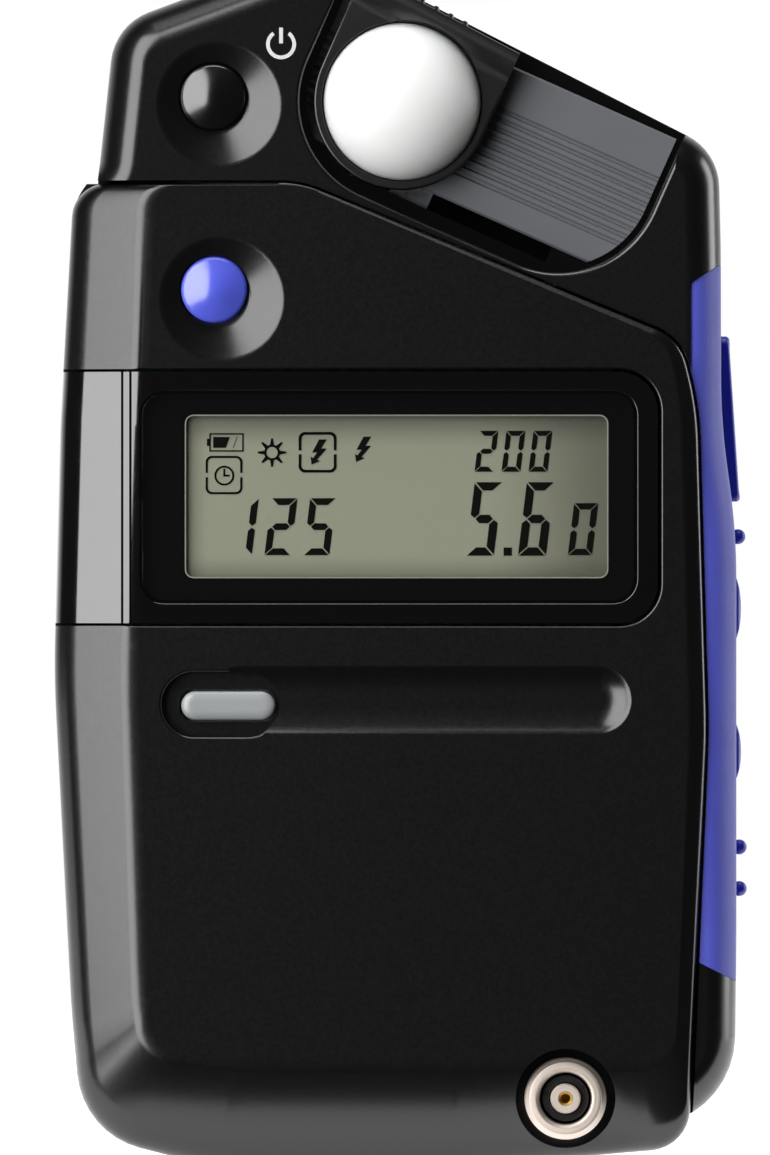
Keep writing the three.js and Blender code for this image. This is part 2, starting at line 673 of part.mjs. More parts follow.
// In the channel's frame: the slot that the holder's foot runs in
const foot = { length: 4, width: 0.9, drop: 7.25, clearance: 0.3 };
const lens = { radius: 3.9, clearance: 0.25, crown: 0.9, depth: 2.7 };
const lensCrownShares = [[0, 0], [0.55, 0.3], [1, 1]];

function footSlot() {
  const middle = { x: travel / 2, z: -foot.drop };
  const length = foot.length + travel + 2 * foot.clearance;
  return panel(middle, length, foot.width + 2 * foot.clearance, foot.width / 2, yTray - overrun,
    yTrayBack + overrun);
}

function makeHeadCover() {
  const trough = (by, y) => intoChannel(slab(troughOutline(by), y - channel.headroom, y));
  const tray = intoChannel(slab(troughOutline(channel.trayWall), yTray - overrun, yTrayBack));
  const hollow = cut(headHollow, tray);
  const shell = join(cut(headSolid, hollow), ...bosses(headScrews, headSolid));
  const region = block(-bodyWidth, bodyWidth, yFace - overrun, yBack, heightAt(headFloorShare),
    bodyHeight + overrun);
  const leftFoot = block(-bodyWidth, 0, yFace - overrun, yBack, 0, heightAt(coverTopShare) + seam);
  const coverRoom = slab(grow(coverOutline, seam), yFace - overrun, yBack);
  const lensHole = rod(domeCentre, lens.radius + lens.clearance, yFace, yBack);
  const body = cut(common(shell, region), trough(0, yTray), leftFoot, coverRoom, gripCut,
    intoChannel(footSlot()), lensHole, ...pilotHoles(headScrews));
  return keySeat(body, powerAt, powerDishAt, yHead, yHead + faceWall);
}

add('head_cover', makeHeadCover(), blackPlastic);

// Keys on the face
add('power_button', roundKey(powerAt, yHead, yHead + faceWall), glossBlack);
add('mode_button', roundKey(modeAt, yFace, yInner), modeBlue);
add('power_switch', faceSwitch(powerAt, yPlunger), steel);
add('mode_switch', faceSwitch(modeAt, yPlunger), steel);

const yIsoTop = yFace + isoKey.setBack;
const yIsoFlange = yInner + pad.depth + faceKey.clearance;
const isoFlange = { width: isoKey.width + 2 * faceKey.flange, height: isoKey.height + 2 * faceKey.flange };
const yIsoBack = yIsoFlange + faceKey.flangeThickness;
const isoCap = panel(isoKeyAt, isoKey.width, isoKey.height, isoKey.height / 2, yIsoTop, yIsoBack);
const isoFlangePanel = panel(isoKeyAt, isoFlange.width, isoFlange.height, isoFlange.height / 2,
  yIsoFlange, yIsoBack);
add('iso_key', join(isoCap, isoFlangePanel), keyGrey);
add('iso_switch', faceSwitch(isoKeyAt, yIsoBack + faceKey.travel + tact.gap), steel);

// Channel furniture, in a turned group about the dome's centre
const channelGroup = new THREE.Group();
channelGroup.position.set(domeCentre.x, 0, domeCentre.z);
channelGroup.rotation.y = channelTurn;
meter.add(channelGroup);
const channelOrigin = { x: 0, z: 0 };

const floorPanel = {
  top: 7.1, bottom: -6.5, thickness: 0.8, inset: 0.6, gap: 0.05, grooves: 9, grooveTop: 3,
};
const floorGroove = { pitch: 0.85, width: 0.35, depth: 0.25 };
const yPanel = yTray - floorPanel.thickness;

function makeChannelFloor() {
  const sheet = slab(troughOutline(-floorPanel.inset), yPanel, yTray - floorPanel.gap);
  const band = block(-bodyWidth, bodyWidth, yFace, yBack, floorPanel.bottom, floorPanel.top);
  const grooves = Array.from({ length: floorPanel.grooves }, (_, i) => {
    const z = floorPanel.grooveTop - i * floorGroove.pitch;
    return block(-bodyWidth, bodyWidth, yPanel - overrun, yPanel + floorGroove.depth,
      z - floorGroove.width / 2, z + floorGroove.width / 2);
  });
  return cut(common(sheet, band), rod(channelOrigin, lens.radius + 2 * lens.clearance, yFace, yBack),
    ...grooves);
}

add('channel_floor', makeChannelFloor(), greyPlastic, channelGroup);

// Dome holder: a ring with straight sides up to the top edge, a raised lip and grip bumps
const holder = {
  radius: 8.05, thickness: 2.25, topLeft: 9.4, topRight: 8.35, lipHeight: 1.6, lipRise: 1.1,
  bore: 5.6, seatDepth: 1, bumps: 6, bumpPitch: 1.47, bumpRadius: 0.36, bumpStart: 2.35,
};
const retainer = { thickness: 0.9, length: 12, width: 3.6, clearance: 0.2 };
const domeRadius = 7.18;
const domeWall = 1;
const domeFit = 0.12;
const yHolderBack = yPanel - seam;
const yHolder = yHolderBack - holder.thickness;
const yDomeBase = yHolder + holder.seatDepth;

function holderOutline() {
  const steps = roundSteps / 2;
  const arc = Array.from({ length: steps + 1 }, (_, k) => {
    const angle = Math.PI + (k / steps) * Math.PI;
    return new THREE.Vector2(Math.cos(angle), Math.sin(angle)).multiplyScalar(holder.radius);
  });
  return [
    ...arc, new THREE.Vector2(holder.radius, holder.topRight),
    new THREE.Vector2(-holder.radius, holder.topLeft),
  ];
}

function holderTopAt(x) {
  const share = (x + holder.radius) / (2 * holder.radius);
  return holder.topLeft + share * (holder.topRight - holder.topLeft);
}

function makeHolder() {
  const plate = slab(holderOutline(), yHolder, yHolderBack);
  const lipCorners = [
    new THREE.Vector2(-holder.radius, holder.topLeft - holder.lipHeight),
    new THREE.Vector2(holder.radius, holder.topRight - holder.lipHeight),
    new THREE.Vector2(holder.radius, holder.topRight), new THREE.Vector2(-holder.radius, holder.topLeft),
  ];
  const lip = slab(lipCorners, yHolder - holder.lipRise, yHolder + holder.seatDepth);
  const bumps = Array.from({ length: holder.bumps }, (_, i) => {
    const x = holder.bumpStart - i * holder.bumpPitch;
    return rod({ x, z: holderTopAt(x) }, holder.bumpRadius, yHolder - holder.lipRise / 2,
      yHolderBack - holder.bumpRadius, cornerSteps * 2);
  });
  const footBlock = block(-foot.length / 2, foot.length / 2, yHolderBack - holder.seatDepth,
    yTrayBack + seam + retainer.thickness, -foot.drop - foot.width / 2, -foot.drop + foot.width / 2);
  const seat = rod(channelOrigin, domeRadius + domeFit, yFace - overrun, yDomeBase, roundSteps);
  const bore = rod(channelOrigin, holder.bore, yFace, yBack, roundSteps);
  return cut(join(plate, lip, ...bumps, footBlock), seat, bore);
}

add('dome_holder', makeHolder(), blackPlastic, channelGroup);

function makeDome() {
  const rise = yDomeBase - (yFace - domeProud);
  const arc = (radius, height, steps) => Array.from({ length: steps + 1 }, (_, k) => {
    const angle = (k / steps) * (Math.PI / 2);
    return [radius * Math.cos(angle), yDomeBase - height * Math.sin(angle)];
  });
  const outer = arc(domeRadius, rise, cornerSteps * 2);
  const inner = arc(domeRadius - domeWall, rise - domeWall, cornerSteps).reverse();
  return turned(channelOrigin, [...outer, ...inner, outer[0]], roundSteps);
}

add('dome', makeDome(), domeWhite, channelGroup);

const retainerAt = { x: 0, z: -foot.drop };
const yRetainer = yTrayBack + seam;
const retainerSlot = block(-foot.length / 2 - retainer.clearance, foot.length / 2 + retainer.clearance,
  yFace, yBack, -foot.drop - foot.width / 2 - retainer.clearance,
  -foot.drop + foot.width / 2 + retainer.clearance);
add('slider_retainer', cut(panel(retainerAt, retainer.length, retainer.width, foot.width, yRetainer,
  yRetainer + retainer.thickness), retainerSlot), steel, channelGroup);

// A leaf under the retainer, with a bump at each end of its run
const leaf = { thickness: 0.4, depth: 0.6, bump: 0.5, bumpLength: 1.6, gap: 0.25 };
const leafTop = -foot.drop - retainer.width / 2 - leaf.gap - leaf.bump;
const leafLeft = -retainer.length / 2 + leaf.bumpLength;
const leafRight = travel + retainer.length / 2 - leaf.bumpLength;
const leafCorners = [
  [leafLeft, leafTop - leaf.thickness], [leafRight, leafTop - leaf.thickness], [leafRight, leafTop],
  [leafRight - leaf.bumpLength / 2, leafTop + leaf.bump], [leafRight - leaf.bumpLength, leafTop],
  [leafLeft + leaf.bumpLength, leafTop], [leafLeft + leaf.bumpLength / 2, leafTop + leaf.bump],
  [leafLeft, leafTop],
];
const yLeaf = yParting + seam;
add('detent_spring', slab(leafCorners.map(([x, z]) => new THREE.Vector2(x, z)), yLeaf,
  yLeaf + leaf.depth), steel, channelGroup);

// Light path under the dome's resting place
const yLens = yPanel + seam / 2;
const yLensBack = yLens + lens.depth;
const lensCrown = lensCrownShares.map(([reach, drop]) => [
  reach * lens.radius, yLens + drop * lens.crown,
]);
add('receptor_lens', turned(domeCentre, [...lensCrown, [lens.radius, yLensBack], [0, yLensBack]],
  fineSteps), clearPane);

const housing = { radius: 5.1, wall: 1.1, depth: 6, floor: 0.8, ledge: 3.2 };
const yHousing = yTrayBack + seam;
const yHousingBack = yHousing + housing.depth;
add('receptor_housing', turned(domeCentre, [
  [housing.radius, yHousing], [housing.radius, yHousingBack], [0, yHousingBack],
  [0, yHousingBack - housing.floor], [housing.ledge, yHousingBack - housing.floor],
  [housing.ledge, yLensBack + seam], [housing.radius - housing.wall, yLensBack + seam],
  [housing.radius - housing.wall, yHousing], [housing.radius, yHousing],
], fineSteps), blackPlastic);
const diode = { radius: 2.8, thickness: 1.2 };
const yDiodeBack = yHousingBack - housing.floor - seam;
add('photodiode', rod(domeCentre, diode.radius, yDiodeBack - diode.thickness, yDiodeBack), displayGlass);

// Flash cord terminal: a stepped ring on the cup's floor, a sleeve inside it and the centre contact
const ySyncStep = ySyncTop + sync.stepDepth;
const ySleeveEdge = ySyncTop + sync.sleeveSetBack;
add('sync_ring', turned(syncAt, [
  [sync.sleeve + seam, ySleeveEdge], [sync.sleeve + sync.rimStep, ySyncStep],
  [sync.ring - 2 * sync.rimStep, ySyncStep], [sync.ring - 2 * sync.rimStep, ySyncTop],
  [sync.ring - sync.rimStep, ySyncTop], [sync.ring, ySyncStep],
  [sync.ring, ySyncFloor - seam / 2], [sync.sleeve + seam, ySyncFloor - seam / 2],
  [sync.sleeve + seam, ySleeveEdge],
]), nickel);
const ySleeve = ySleeveEdge + sync.stepDepth;
const barrelFit = sync.barrel + seam / 2;
add('sync_insulator', turned(syncAt, [
  [barrelFit, ySleeve], [sync.sleeve, ySleeve], [sync.sleeve, ySyncFloor + sync.floor],
  [barrelFit, ySyncFloor + sync.floor], [barrelFit, ySleeve],
]), glossBlack);
add('sync_contact', turned(syncAt, [
  [sync.bore, ySyncStep], [sync.barrel, ySyncStep], [sync.barrel, ySyncFloor + sync.tail],
  [0, ySyncFloor + sync.tail], [0, ySyncFloor], [sync.bore, ySyncFloor], [sync.bore, ySyncStep],
]), gold);

// Side keys
function makeSideKey(key) {
  const { bottom, top, half, proud, flangeOuter, stem } = keySizes(key);
  const cap = sideSlab(bottom, top, sideAt(bottom) + proud, sideAt(top) + proud, stem, half);
  const flange = sideSlab(bottom - sideKey.flange, top + sideKey.flange, flangeOuter, flangeOuter, stem,
    half + sideKey.flange);
  return join(cap, flange);
}

function sideKeyHole(key) {
  const { bottom, top, half, stem } = keySizes(key);
  const clear = sideKey.clearance;
  return sideSlab(bottom - clear, top + clear, bodyWidth, bodyWidth, stem, half + clear);
}

sideKeys.forEach((key) => add(key.node, makeSideKey(key), key.finish));

add('side_board', block(sideBoardX - sideBoard.thickness, sideBoardX, ySideKey - sideBoard.half + seam,
  ySideKey + sideBoard.half + seam, heightAt(sideBoard.bottomShare), heightAt(sideBoard.topShare)),
boardGreen);

sideKeys.forEach((key) => {
  const middle = heightAt(key.middleShare);
  const tip = keySizes(key).stem - sideKey.travel - tact.gap;
  const half = tact.size / 2;
  const body = block(sideBoardX, sideBoardX + tact.body, ySideKey - half, ySideKey + half,
    middle - half / 2, middle + half / 2);
  const plunger = new THREE.CylinderGeometry(tact.plunger, tact.plunger, tip - sideBoardX, fineSteps);
  plunger.rotateZ(Math.PI / 2).translate((tip + sideBoardX) / 2, ySideKey, middle);
  add(`${key.name}_switch`, join(body, plunger), steel);
});

// Grip: the strip of the side between its slanted ends, with three raised dots
const dots = { radius: 0.7, proud: 0.35, shares: [0.5245, 0.2664, 0.2318] };

function makeGrip() {
  const shell = loft([
    ...rimRings(headRimShares, grip.frontInset, grip.rimDepth, gripFront, 1, 0),
    { points: rearOutline, y: gripBack - grip.backRim },
    { points: grow(rearOutline, -grip.backInset), y: gripBack },
  ]);
  const coverRoom = slab(grow(coverOutline, seam), yFace - overrun, yParting);
  const bumps = dots.shares.map((share) => {
    const z = heightAt(share);
    const ball = new THREE.SphereGeometry(dots.radius, cornerSteps * 3, cornerSteps * 2);
    return ball.translate(sideAt(z) + dots.proud, ySideKey, z);
  });
  return cut(join(common(shell, gripSolid), ...bumps), coverRoom, ...sideKeys.map(sideKeyHole));
}

add('side_grip', makeGrip(), gripBlue);

// Battery door, behind the bay
const door = { overlap: 0.15, rightShare: 0.33, front: 5.5 };
const doorRibs = { count: 4, pitch: 1.6, width: 0.7, depth: 0.4 };
const doorHalf = bayHalf + door.overlap;

function doorBand(clearance) {
  return block(-bodyWidth, door.rightShare * bodyWidth + clearance, yBack - door.front - clearance,
    yBack + overrun, cellZ - doorHalf - clearance, cellZ + doorHalf + clearance);
}

const rearSolid = loft([
  { points: rearOutline, y: yParting + partingGap },
  ...rimRings(backRimShares, backRim.inset, backRim.depth, yBack, -1, 0).reverse(),
]);

function rearHollow(thickness) {
  return loft([
    { points: grow(rearOutline, -thickness), y: yParting - overrun },
    ...rimRings(backRimShares, backRim.inset, backRim.depth, yBack, -1, thickness).reverse(),
  ]);
}

// Below the grip the rear shell comes forward beside the main face, as far as the grip does
function makeShoulder() {
  const body = loft([
    ...rimRings(headRimShares, grip.frontInset, grip.rimDepth, gripFront, 1, 0),
    { points: rearOutline, y: yParting + partingGap + wall },
  ]);
  const below = [new THREE.Vector2(gripInner, 0), new THREE.Vector2(bodyWidth, 0)];
  const region = slab([...below, ...gripEnds(seam).lower.reverse()], yFace, yBack);
  const coverRoom = slab(grow(coverOutline, seam), yFace - overrun, yParting + partingGap);
  const inside = slab(grow(coverOutline, -wall), yFace, yBack);
  return cut(common(body, region), coverRoom, inside);
}

function makeRearCover() {
  const behindGrip = cut(gripRegion(seam + wall), slab(gripCoreOutline, ...throughCase));
  const hollow = cut(rearHollow(wall), behindGrip);
  const bayShell = block(bayLeft - bay.wall, bayRight + bay.wall, yParting + partingGap,
    yBackWall + bay.wall / 2, cellZ - bayHalf - bay.wall, cellZ + bayHalf + bay.wall);
  const bayRoom = block(bayLeft, bayRight, yParting - overrun, yBackWall, cellZ - bayHalf,
    cellZ + bayHalf);
  const bossRods = screwPlaces.map((at) => common(rod(at, rearBoss, yParting + partingGap, yBack),
    rearSolid));
  const doorRoom = cut(doorBand(seam), rearHollow(wall + seam));
  const shell = join(cut(rearSolid, hollow), common(bayShell, rearSolid), makeShoulder(), ...bossRods);
  return cut(shell, bayRoom, gripCut, doorRoom, ...sideKeys.map(sideKeyHole),
    ...screwPlaces.map((at) => rod(at, screw.bore, yFace, yBack + overrun)),
    ...screwPlaces.map((at) => rod(at, screw.counterbore, yScrewSeat - seam, yBack + overrun)));
}

add('rear_cover', makeRearCover(), blackPlastic);

function makeDoor() {
  const shell = common(cut(rearSolid, rearHollow(wall)), doorBand(0));
  const ribs = Array.from({ length: doorRibs.count }, (_, i) => {
    const x = door.rightShare * bodyWidth - (i + 2) * doorRibs.pitch;
    return block(x - doorRibs.width / 2, x + doorRibs.width / 2, yBack - doorRibs.depth, yBack + overrun,
      cellZ - doorHalf / 2, cellZ + doorHalf / 2);
  });
  return cut(shell, ...ribs);
}

add('battery_door', makeDoor(), blackPlastic);

function alongX(profile, xStart, steps) {
  const points = profile.map(([radius, x]) => new THREE.Vector2(radius, x));
  return new THREE.LatheGeometry(points, steps).rotateZ(-Math.PI / 2).translate(xStart, yCell, cellZ);
}

add('battery_cell', alongX([
  [0, 0], [cell.radius, 0], [cell.radius, cellLength - nub.height],
  [nub.radius, cellLength - nub.height], [nub.radius, cellLength], [0, cellLength],
], cellLeft, fineSteps), cellWrap);

const contact = { width: 9, thickness: 0.2, gap: 0.1 };
add('battery_contact', block(bayRight - contact.thickness - contact.gap, bayRight - contact.gap,
  yCell - contact.width / 2, yCell + contact.width / 2, cellZ - contact.width / 2,
  cellZ + contact.width / 2), nickel);

// The spring at the cell's flat end, wound as a cone
const coil = { wire: 0.25, turns: 3, wide: 4.6, narrow: 2.4, stepsPerTurn: 12, sides: 5, gap: 0.1 };

class ConeHelix extends THREE.Curve {
  getPoint(share, target = new THREE.Vector3()) {
    const angle = share * coil.turns * 2 * Math.PI;
    const radius = coil.wide + share * (coil.narrow - coil.wide);
    const start = bayLeft + coil.wire + coil.gap;
    const run = bay.springRoom - 2 * (coil.wire + coil.gap);
    return target.set(start + share * run, yCell + radius * Math.cos(angle),
      cellZ + radius * Math.sin(angle));
  }
}

const wireSection = new THREE.Shape(Array.from({ length: coil.sides }, (_, k) => {
  const angle = (k / coil.sides) * 2 * Math.PI;
  return new THREE.Vector2(Math.cos(angle), Math.sin(angle)).multiplyScalar(coil.wire);
}));
add('battery_spring', new THREE.ExtrudeGeometry(wireSection, {
  steps: coil.turns * coil.stepsPerTurn, extrudePath: new ConeHelix(), bevelEnabled: false,
}), steel);

// Case screws with a cross slot
function makeScrew(at) {
  const shape = turned(at, [
    [0, yScrewTip], [screw.shaft, yScrewTip + screw.shaft], [screw.shaft, yScrewSeat],
    [screw.head, yScrewSeat], [screw.head, yBack - screw.setBack], [0, yBack - screw.setBack],
  ], fineSteps);
  const slot = (width, height) => block(at.x - width, at.x + width,
    yBack - screw.setBack - screw.slotDepth, yBack, at.z - height, at.z + height);
  const arm = screw.slotLength / 2;
  return cut(shape, slot(arm, screw.slotWidth / 2), slot(screw.slotWidth / 2, arm));
}

screwPlaces.forEach((at, i) => add(`case_screw_${i + 1}`, makeScrew(at), steel));

// The origin is under the middle of the whole meter, where it stands
meter.updateMatrixWorld(true);
const extent = new THREE.Box3().setFromObject(meter, true);
const middle = extent.getCenter(new THREE.Vector3());
meter.position.set(-middle.x, -middle.y, -extent.min.z);

export default meter;
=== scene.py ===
"""Hand-held flash meter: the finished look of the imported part, laid out as an add-on."""

import math
from contextlib import contextmanager

import bmesh
import bpy
from mathutils import Matrix, Vector


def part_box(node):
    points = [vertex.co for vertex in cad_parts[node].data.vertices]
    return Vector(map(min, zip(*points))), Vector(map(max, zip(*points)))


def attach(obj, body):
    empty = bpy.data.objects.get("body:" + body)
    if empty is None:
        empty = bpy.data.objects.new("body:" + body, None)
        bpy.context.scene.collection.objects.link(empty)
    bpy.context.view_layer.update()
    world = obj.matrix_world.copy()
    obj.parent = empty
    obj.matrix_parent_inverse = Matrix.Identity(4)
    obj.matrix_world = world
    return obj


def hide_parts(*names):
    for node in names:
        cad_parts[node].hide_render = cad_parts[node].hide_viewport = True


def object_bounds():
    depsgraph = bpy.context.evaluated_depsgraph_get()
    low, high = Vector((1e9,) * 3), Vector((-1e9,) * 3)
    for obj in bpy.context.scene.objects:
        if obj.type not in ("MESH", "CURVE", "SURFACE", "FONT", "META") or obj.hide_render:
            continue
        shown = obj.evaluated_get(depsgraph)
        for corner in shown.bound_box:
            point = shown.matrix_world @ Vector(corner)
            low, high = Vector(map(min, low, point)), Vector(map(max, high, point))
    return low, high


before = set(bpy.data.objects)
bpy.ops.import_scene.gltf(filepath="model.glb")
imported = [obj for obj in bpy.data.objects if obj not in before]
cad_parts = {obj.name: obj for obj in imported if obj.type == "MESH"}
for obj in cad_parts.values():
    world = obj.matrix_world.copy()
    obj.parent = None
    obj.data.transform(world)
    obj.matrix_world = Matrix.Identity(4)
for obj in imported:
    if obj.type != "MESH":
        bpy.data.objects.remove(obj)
CAD_LOW, CAD_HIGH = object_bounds()

bl_info = {
    "name": "Flash meter builder",
    "version": (1, 0, 0),
    "blender": (4, 5, 0),
    "location": "3D View > Sidebar > Flash meter",
    "description": "Builds the case, keys, dome, display and terminal of a hand-held flash meter",
    "category": "Object",
}

MM = 0.001

# Depth planes and heights that the frame gives
FACE_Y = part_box("front_cover")[0].y
HEAD_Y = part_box("head_cover")[0].y
PARTING_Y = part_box("front_cover")[1].y
# The two halves meet almost without a gap, so that only their broken edges show as a line
REAR_EDGE_Y = PARTING_Y + 0.02 * MM
BACK_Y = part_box("rear_cover")[1].y
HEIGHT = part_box("rear_cover")[1].z

# Outlines of the case, as shares of its width and height, with the radius of each corner in mm.
# They run counter-clockwise from the left end of the base, seen from the front.
COVER_OUTLINE_SHARES = [
    (-0.262, 0, 10), (0.071, 0, 12), (0.415, 0.018, 3.9), (0.4405, 0.364, 60), (0.427, 0.632, 60),
    (0.402, 0.688, 4.7), (-0.146, 0.8173, 10), (-0.4755, 0.8173, 3.15), (-0.495, 0.618, 90),
    (-0.504, 0.409, 90), (-0.479, 0.132, 90), (-0.4635, 0.029, 8.3),
]
COVER_FLAT_SHARES = [
    (-0.23, 0.0855, 10), (0.079, 0.0845, 12), (0.395, 0.0845, 3.15), (0.4175, 0.364, 60),
    (0.405, 0.632, 60), (0.386, 0.686, 3.9), (-0.147, 0.8155, 10), (-0.374, 0.8155, 2.2),
    (-0.387, 0.618, 90), (-0.399, 0.409, 90), (-0.384, 0.15, 60), (-0.376, 0.0945, 4.5),
]
REAR_OUTLINE_SHARES = [
    (-0.262, 0, 10), (0.071, 0, 12), (0.4825, 0.049, 8.3), (0.4845, 0.2, 90), (0.4845, 0.527, 60),
    (0.4625, 0.62, 60), (0.462, 0.764, 90), (0.4585, 0.844, 5.36), (-0.075, 1, 10),
    (-0.178, 1, 12), (-0.416, 0.949, 5.36), (-0.438, 0.832, 1.9), (-0.4755, 0.803, 5.36),
    (-0.495, 0.618, 90), (-0.504, 0.409, 90), (-0.479, 0.132, 90), (-0.4635, 0.029, 8.3),
]
ARC_STEPS = 8
ARC_END_SHARE = 0.48
# Stretches of the cover's outlines along which the bevel's width changes, by their first corner
DIVIDED_STRETCHES = (1, 2, 9, 10)
STRETCH_STEPS = 8
ROUND_STEPS = 96

# Places on the face, as shares of the case's width and height. A finger hollow lies a little beside
# its key.
PLACES = {
    "dome": (0, 0.8851), "power key": (-0.2732, 0.8889), "power hollow": (-0.2646, 0.8826),
    "mode key": (-0.2717, 0.729), "mode hollow": (-0.2606, 0.7212), "long key": (-0.2512, 0.3845),
    "long pocket": (-0.2627, 0.3855), "switch pad": (0.025, 0.3855), "groove left": (-0.28, 0.389),
    "groove right": (0.33, 0.389), "terminal": (0.2365, 0.0589), "shoulder": (-0.4408, 0.8173),
    "shoulder top": (-0.4371, 0.8367),
}

# Cutters reach past the surfaces that they open, and past the whole case
OVERRUN = 5 * MM
SKIN = 0.004 * MM
FAR = 20 * MM
FARTHER = 30 * MM
BESIDE = 50 * MM
# A key's hole goes from in front of the face to behind its wall
KEY_HOLE_DEPTHS = (-12 * MM, -4 * MM)


def length(name, description, millimetres):
    return bpy.props.FloatProperty(
        name=name, description=description, default=millimetres * MM, unit="LENGTH")


def colour(name, description, code):
    return bpy.props.StringProperty(name=name, description=description, default=code)


class CaseSizes(bpy.types.PropertyGroup):
    """Sizes of the moulded case"""

    width: length("Width", "Width that the outlines are shares of", 63)
    wall: length("Wall", "Thickness of the moulded walls", 1.5)
    bevel_depth: length("Bevel depth", "How far back the bevel of the main face reaches", 6)
    rim_inset: length("Rim inset", "How far the head's rim is drawn in", 3.3)
    rim_depth: length("Rim depth", "How deep the head's rim is", 4)
    back_inset: length("Back rim inset", "How far the back's rim is drawn in", 2.6)
    seam: length("Seam", "Gap between two mouldings", 0.25)
    crease: length("Crease", "How far in the soft crease round the main face starts", 1.2)


class ChannelSizes(bpy.types.PropertyGroup):
    """Sizes of the channel that the dome slides in"""

    turn: bpy.props.FloatProperty(
        name="Turn", description="How far the channel falls to the right",
        default=math.radians(24), subtype="ANGLE")
    end_radius: length("End radius", "Radius of the channel's ends", 9.3)
    travel: length("Travel", "How far the dome slides", 15.57)
    floor_depth: length("Floor depth", "Depth of the channel behind the head's face", 4.7)
    headroom: length("Headroom", "How far the cut runs past the open top", 20)


class KeySizes(bpy.types.PropertyGroup):
    """Sizes of the round face keys"""

    radius: length("Radius", "Radius of a round key", 3)
    dish_radius: length("Dish radius", "Radius of the finger hollow round a key", 5.6)
    dish_depth: length("Dish depth", "Depth of the finger hollow", 1.2)
    clearance: length("Clearance", "Gap round a key", 0.2)


class FinishColours(bpy.types.PropertyGroup):
    """Colours of the finishes, as sRGB hex codes"""

    case: colour("Case", "Moulded black of the case", "0b0b0c")
    gloss: colour("Gloss black", "Polished black of the display's surround", "060607")
    grip: colour("Grip", "Blue of the soft side strip", "565cce")
    measuring: colour("Measuring key", "Blue of the long side key", "2636c4")
    mode: colour("Mode key", "Blue of the round face key", "5560dc")
    panel: colour("Channel panel", "Grey of the grooved panel", "5e6064")
    key_grey: colour("Long face key", "Light grey of the long face key", "999c9d")
    dome: colour("Dome", "White of the light dome", "f4f4f2")
    glass: colour("Display", "Grey-green of the segment display", "a4a691")


class StageSettings(bpy.types.PropertyGroup):
    """Camera, lamps and floor"""

    distance: length("Camera distance", "From the camera to the main face", 2500)
    frame_height: length("Frame height", "Height of the picture at the main face", 105.19)
    centre_x: length("Centre across", "Where the picture's middle lies across the meter", -1.46)
    centre_z: length("Centre up", "Where the picture's middle lies up the meter", 53.96)


def sizes(name):
    return getattr(bpy.context.scene, "meter_" + name)


# Outlines


def turn_corner(before, point, after, radius):
    """The points of a corner's arc, as a cubic curve"""
    inward, outward = point - before, after - point
    longest = min(inward.length, outward.length) * ARC_END_SHARE
    inward.normalize()
    outward.normalize()
    turn = max(math.acos(max(-1, min(1, inward.dot(outward)))), 1e-4)
    reach = min(radius * math.tan(turn / 2), longest)
    pull = reach * (1 - (4 / 3) * math.tan(turn / 4) / math.tan(turn / 2))
    ends = [point - inward * reach, point - inward * pull, point + outward * pull,
            point + outward * reach]
    points = []
    for step in range(ARC_STEPS + 1):
        t = step / ARC_STEPS
        weights = [(1 - t) ** 3, 3 * t * (1 - t) ** 2, 3 * t * t * (1 - t), t ** 3]
        points.append(sum((end * weight for end, weight in zip(ends, weights)), Vector((0, 0))))
    return points


def case_outline(rows, divided=()):
    """A rounded outline seen from the front, from its rows of shares. Some stretches get points
    along them."""
    corners = [face_place(x, z) for x, z, _ in rows]
    count = len(corners)
    arcs = [turn_corner(corners[i - 1], corner, corners[(i + 1) % count], rows[i][2] * MM)
            for i, corner in enumerate(corners)]
    points = []
    for i, arc in enumerate(arcs):
        points += arc
        if i in divided:
            points += [arc[-1].lerp(arcs[(i + 1) % count][0], step / STRETCH_STEPS)
                       for step in range(1, STRETCH_STEPS)]
    return points


def face_place(x_share, z_share):
    width = sizes("case").width
    left = CAD_LOW.x - min(row[0] for row in REAR_OUTLINE_SHARES) * width
    return Vector((left + x_share * width, z_share * HEIGHT))


def spot(name):
    return face_place(*PLACES[name])


def grow(points, by):
    """An outline moved outward, or inward with a minus sign"""
    def normal(a, b):
        return Vector((b.y - a.y, a.x - b.x)).normalized()
    moved = []
    for i, point in enumerate(points):
        first = normal(points[i - 1], point)
        second = normal(point, points[(i + 1) % len(points)])
        middle = (first + second).normalized()
        moved.append(point + middle * (by / max(middle.dot(first), 0.3)))
    return moved


def slot_outline(centre, width, height, radius, steps=12):
    """A rounded rectangle seen from the front"""
    radius = min(radius, width / 2, height / 2)
    points = []
    for quarter, (side_x, side_z) in enumerate([(1, -1), (1, 1), (-1, 1), (-1, -1)]):
        middle = centre + Vector((side_x * (width / 2 - radius), side_z * (height / 2 - radius)))
        for k in range(steps + 1):
            angle = (quarter - 1 + k / steps) * math.pi / 2
            points.append(middle + radius * Vector((math.cos(angle), math.sin(angle))))
    return [p for i, p in enumerate(points) if (p - points[i - 1]).length > 0.001 * MM]


def into_channel(points):
    """Points of the channel's own frame, turned about the dome's centre"""
    turn = sizes("channel").turn
    along = Vector((math.cos(turn), -math.sin(turn)))
    across = Vector((math.sin(turn), math.cos(turn)))
    return [spot("dome") + along * p.x + across * p.y for p in points]


# Modelling by hand: primitives, edit mode and modifiers


def start_fresh():
    bpy.ops.object.select_all(action="DESELECT")


def make_active(piece):
    start_fresh()
    piece.select_set(True)
    bpy.context.view_layer.objects.active = piece


@contextmanager
def editing(piece):
    make_active(piece)
    bpy.ops.object.mode_set(mode="EDIT")
    yield bmesh.from_edit_mesh(piece.data)
    bpy.ops.object.mode_set(mode="OBJECT")


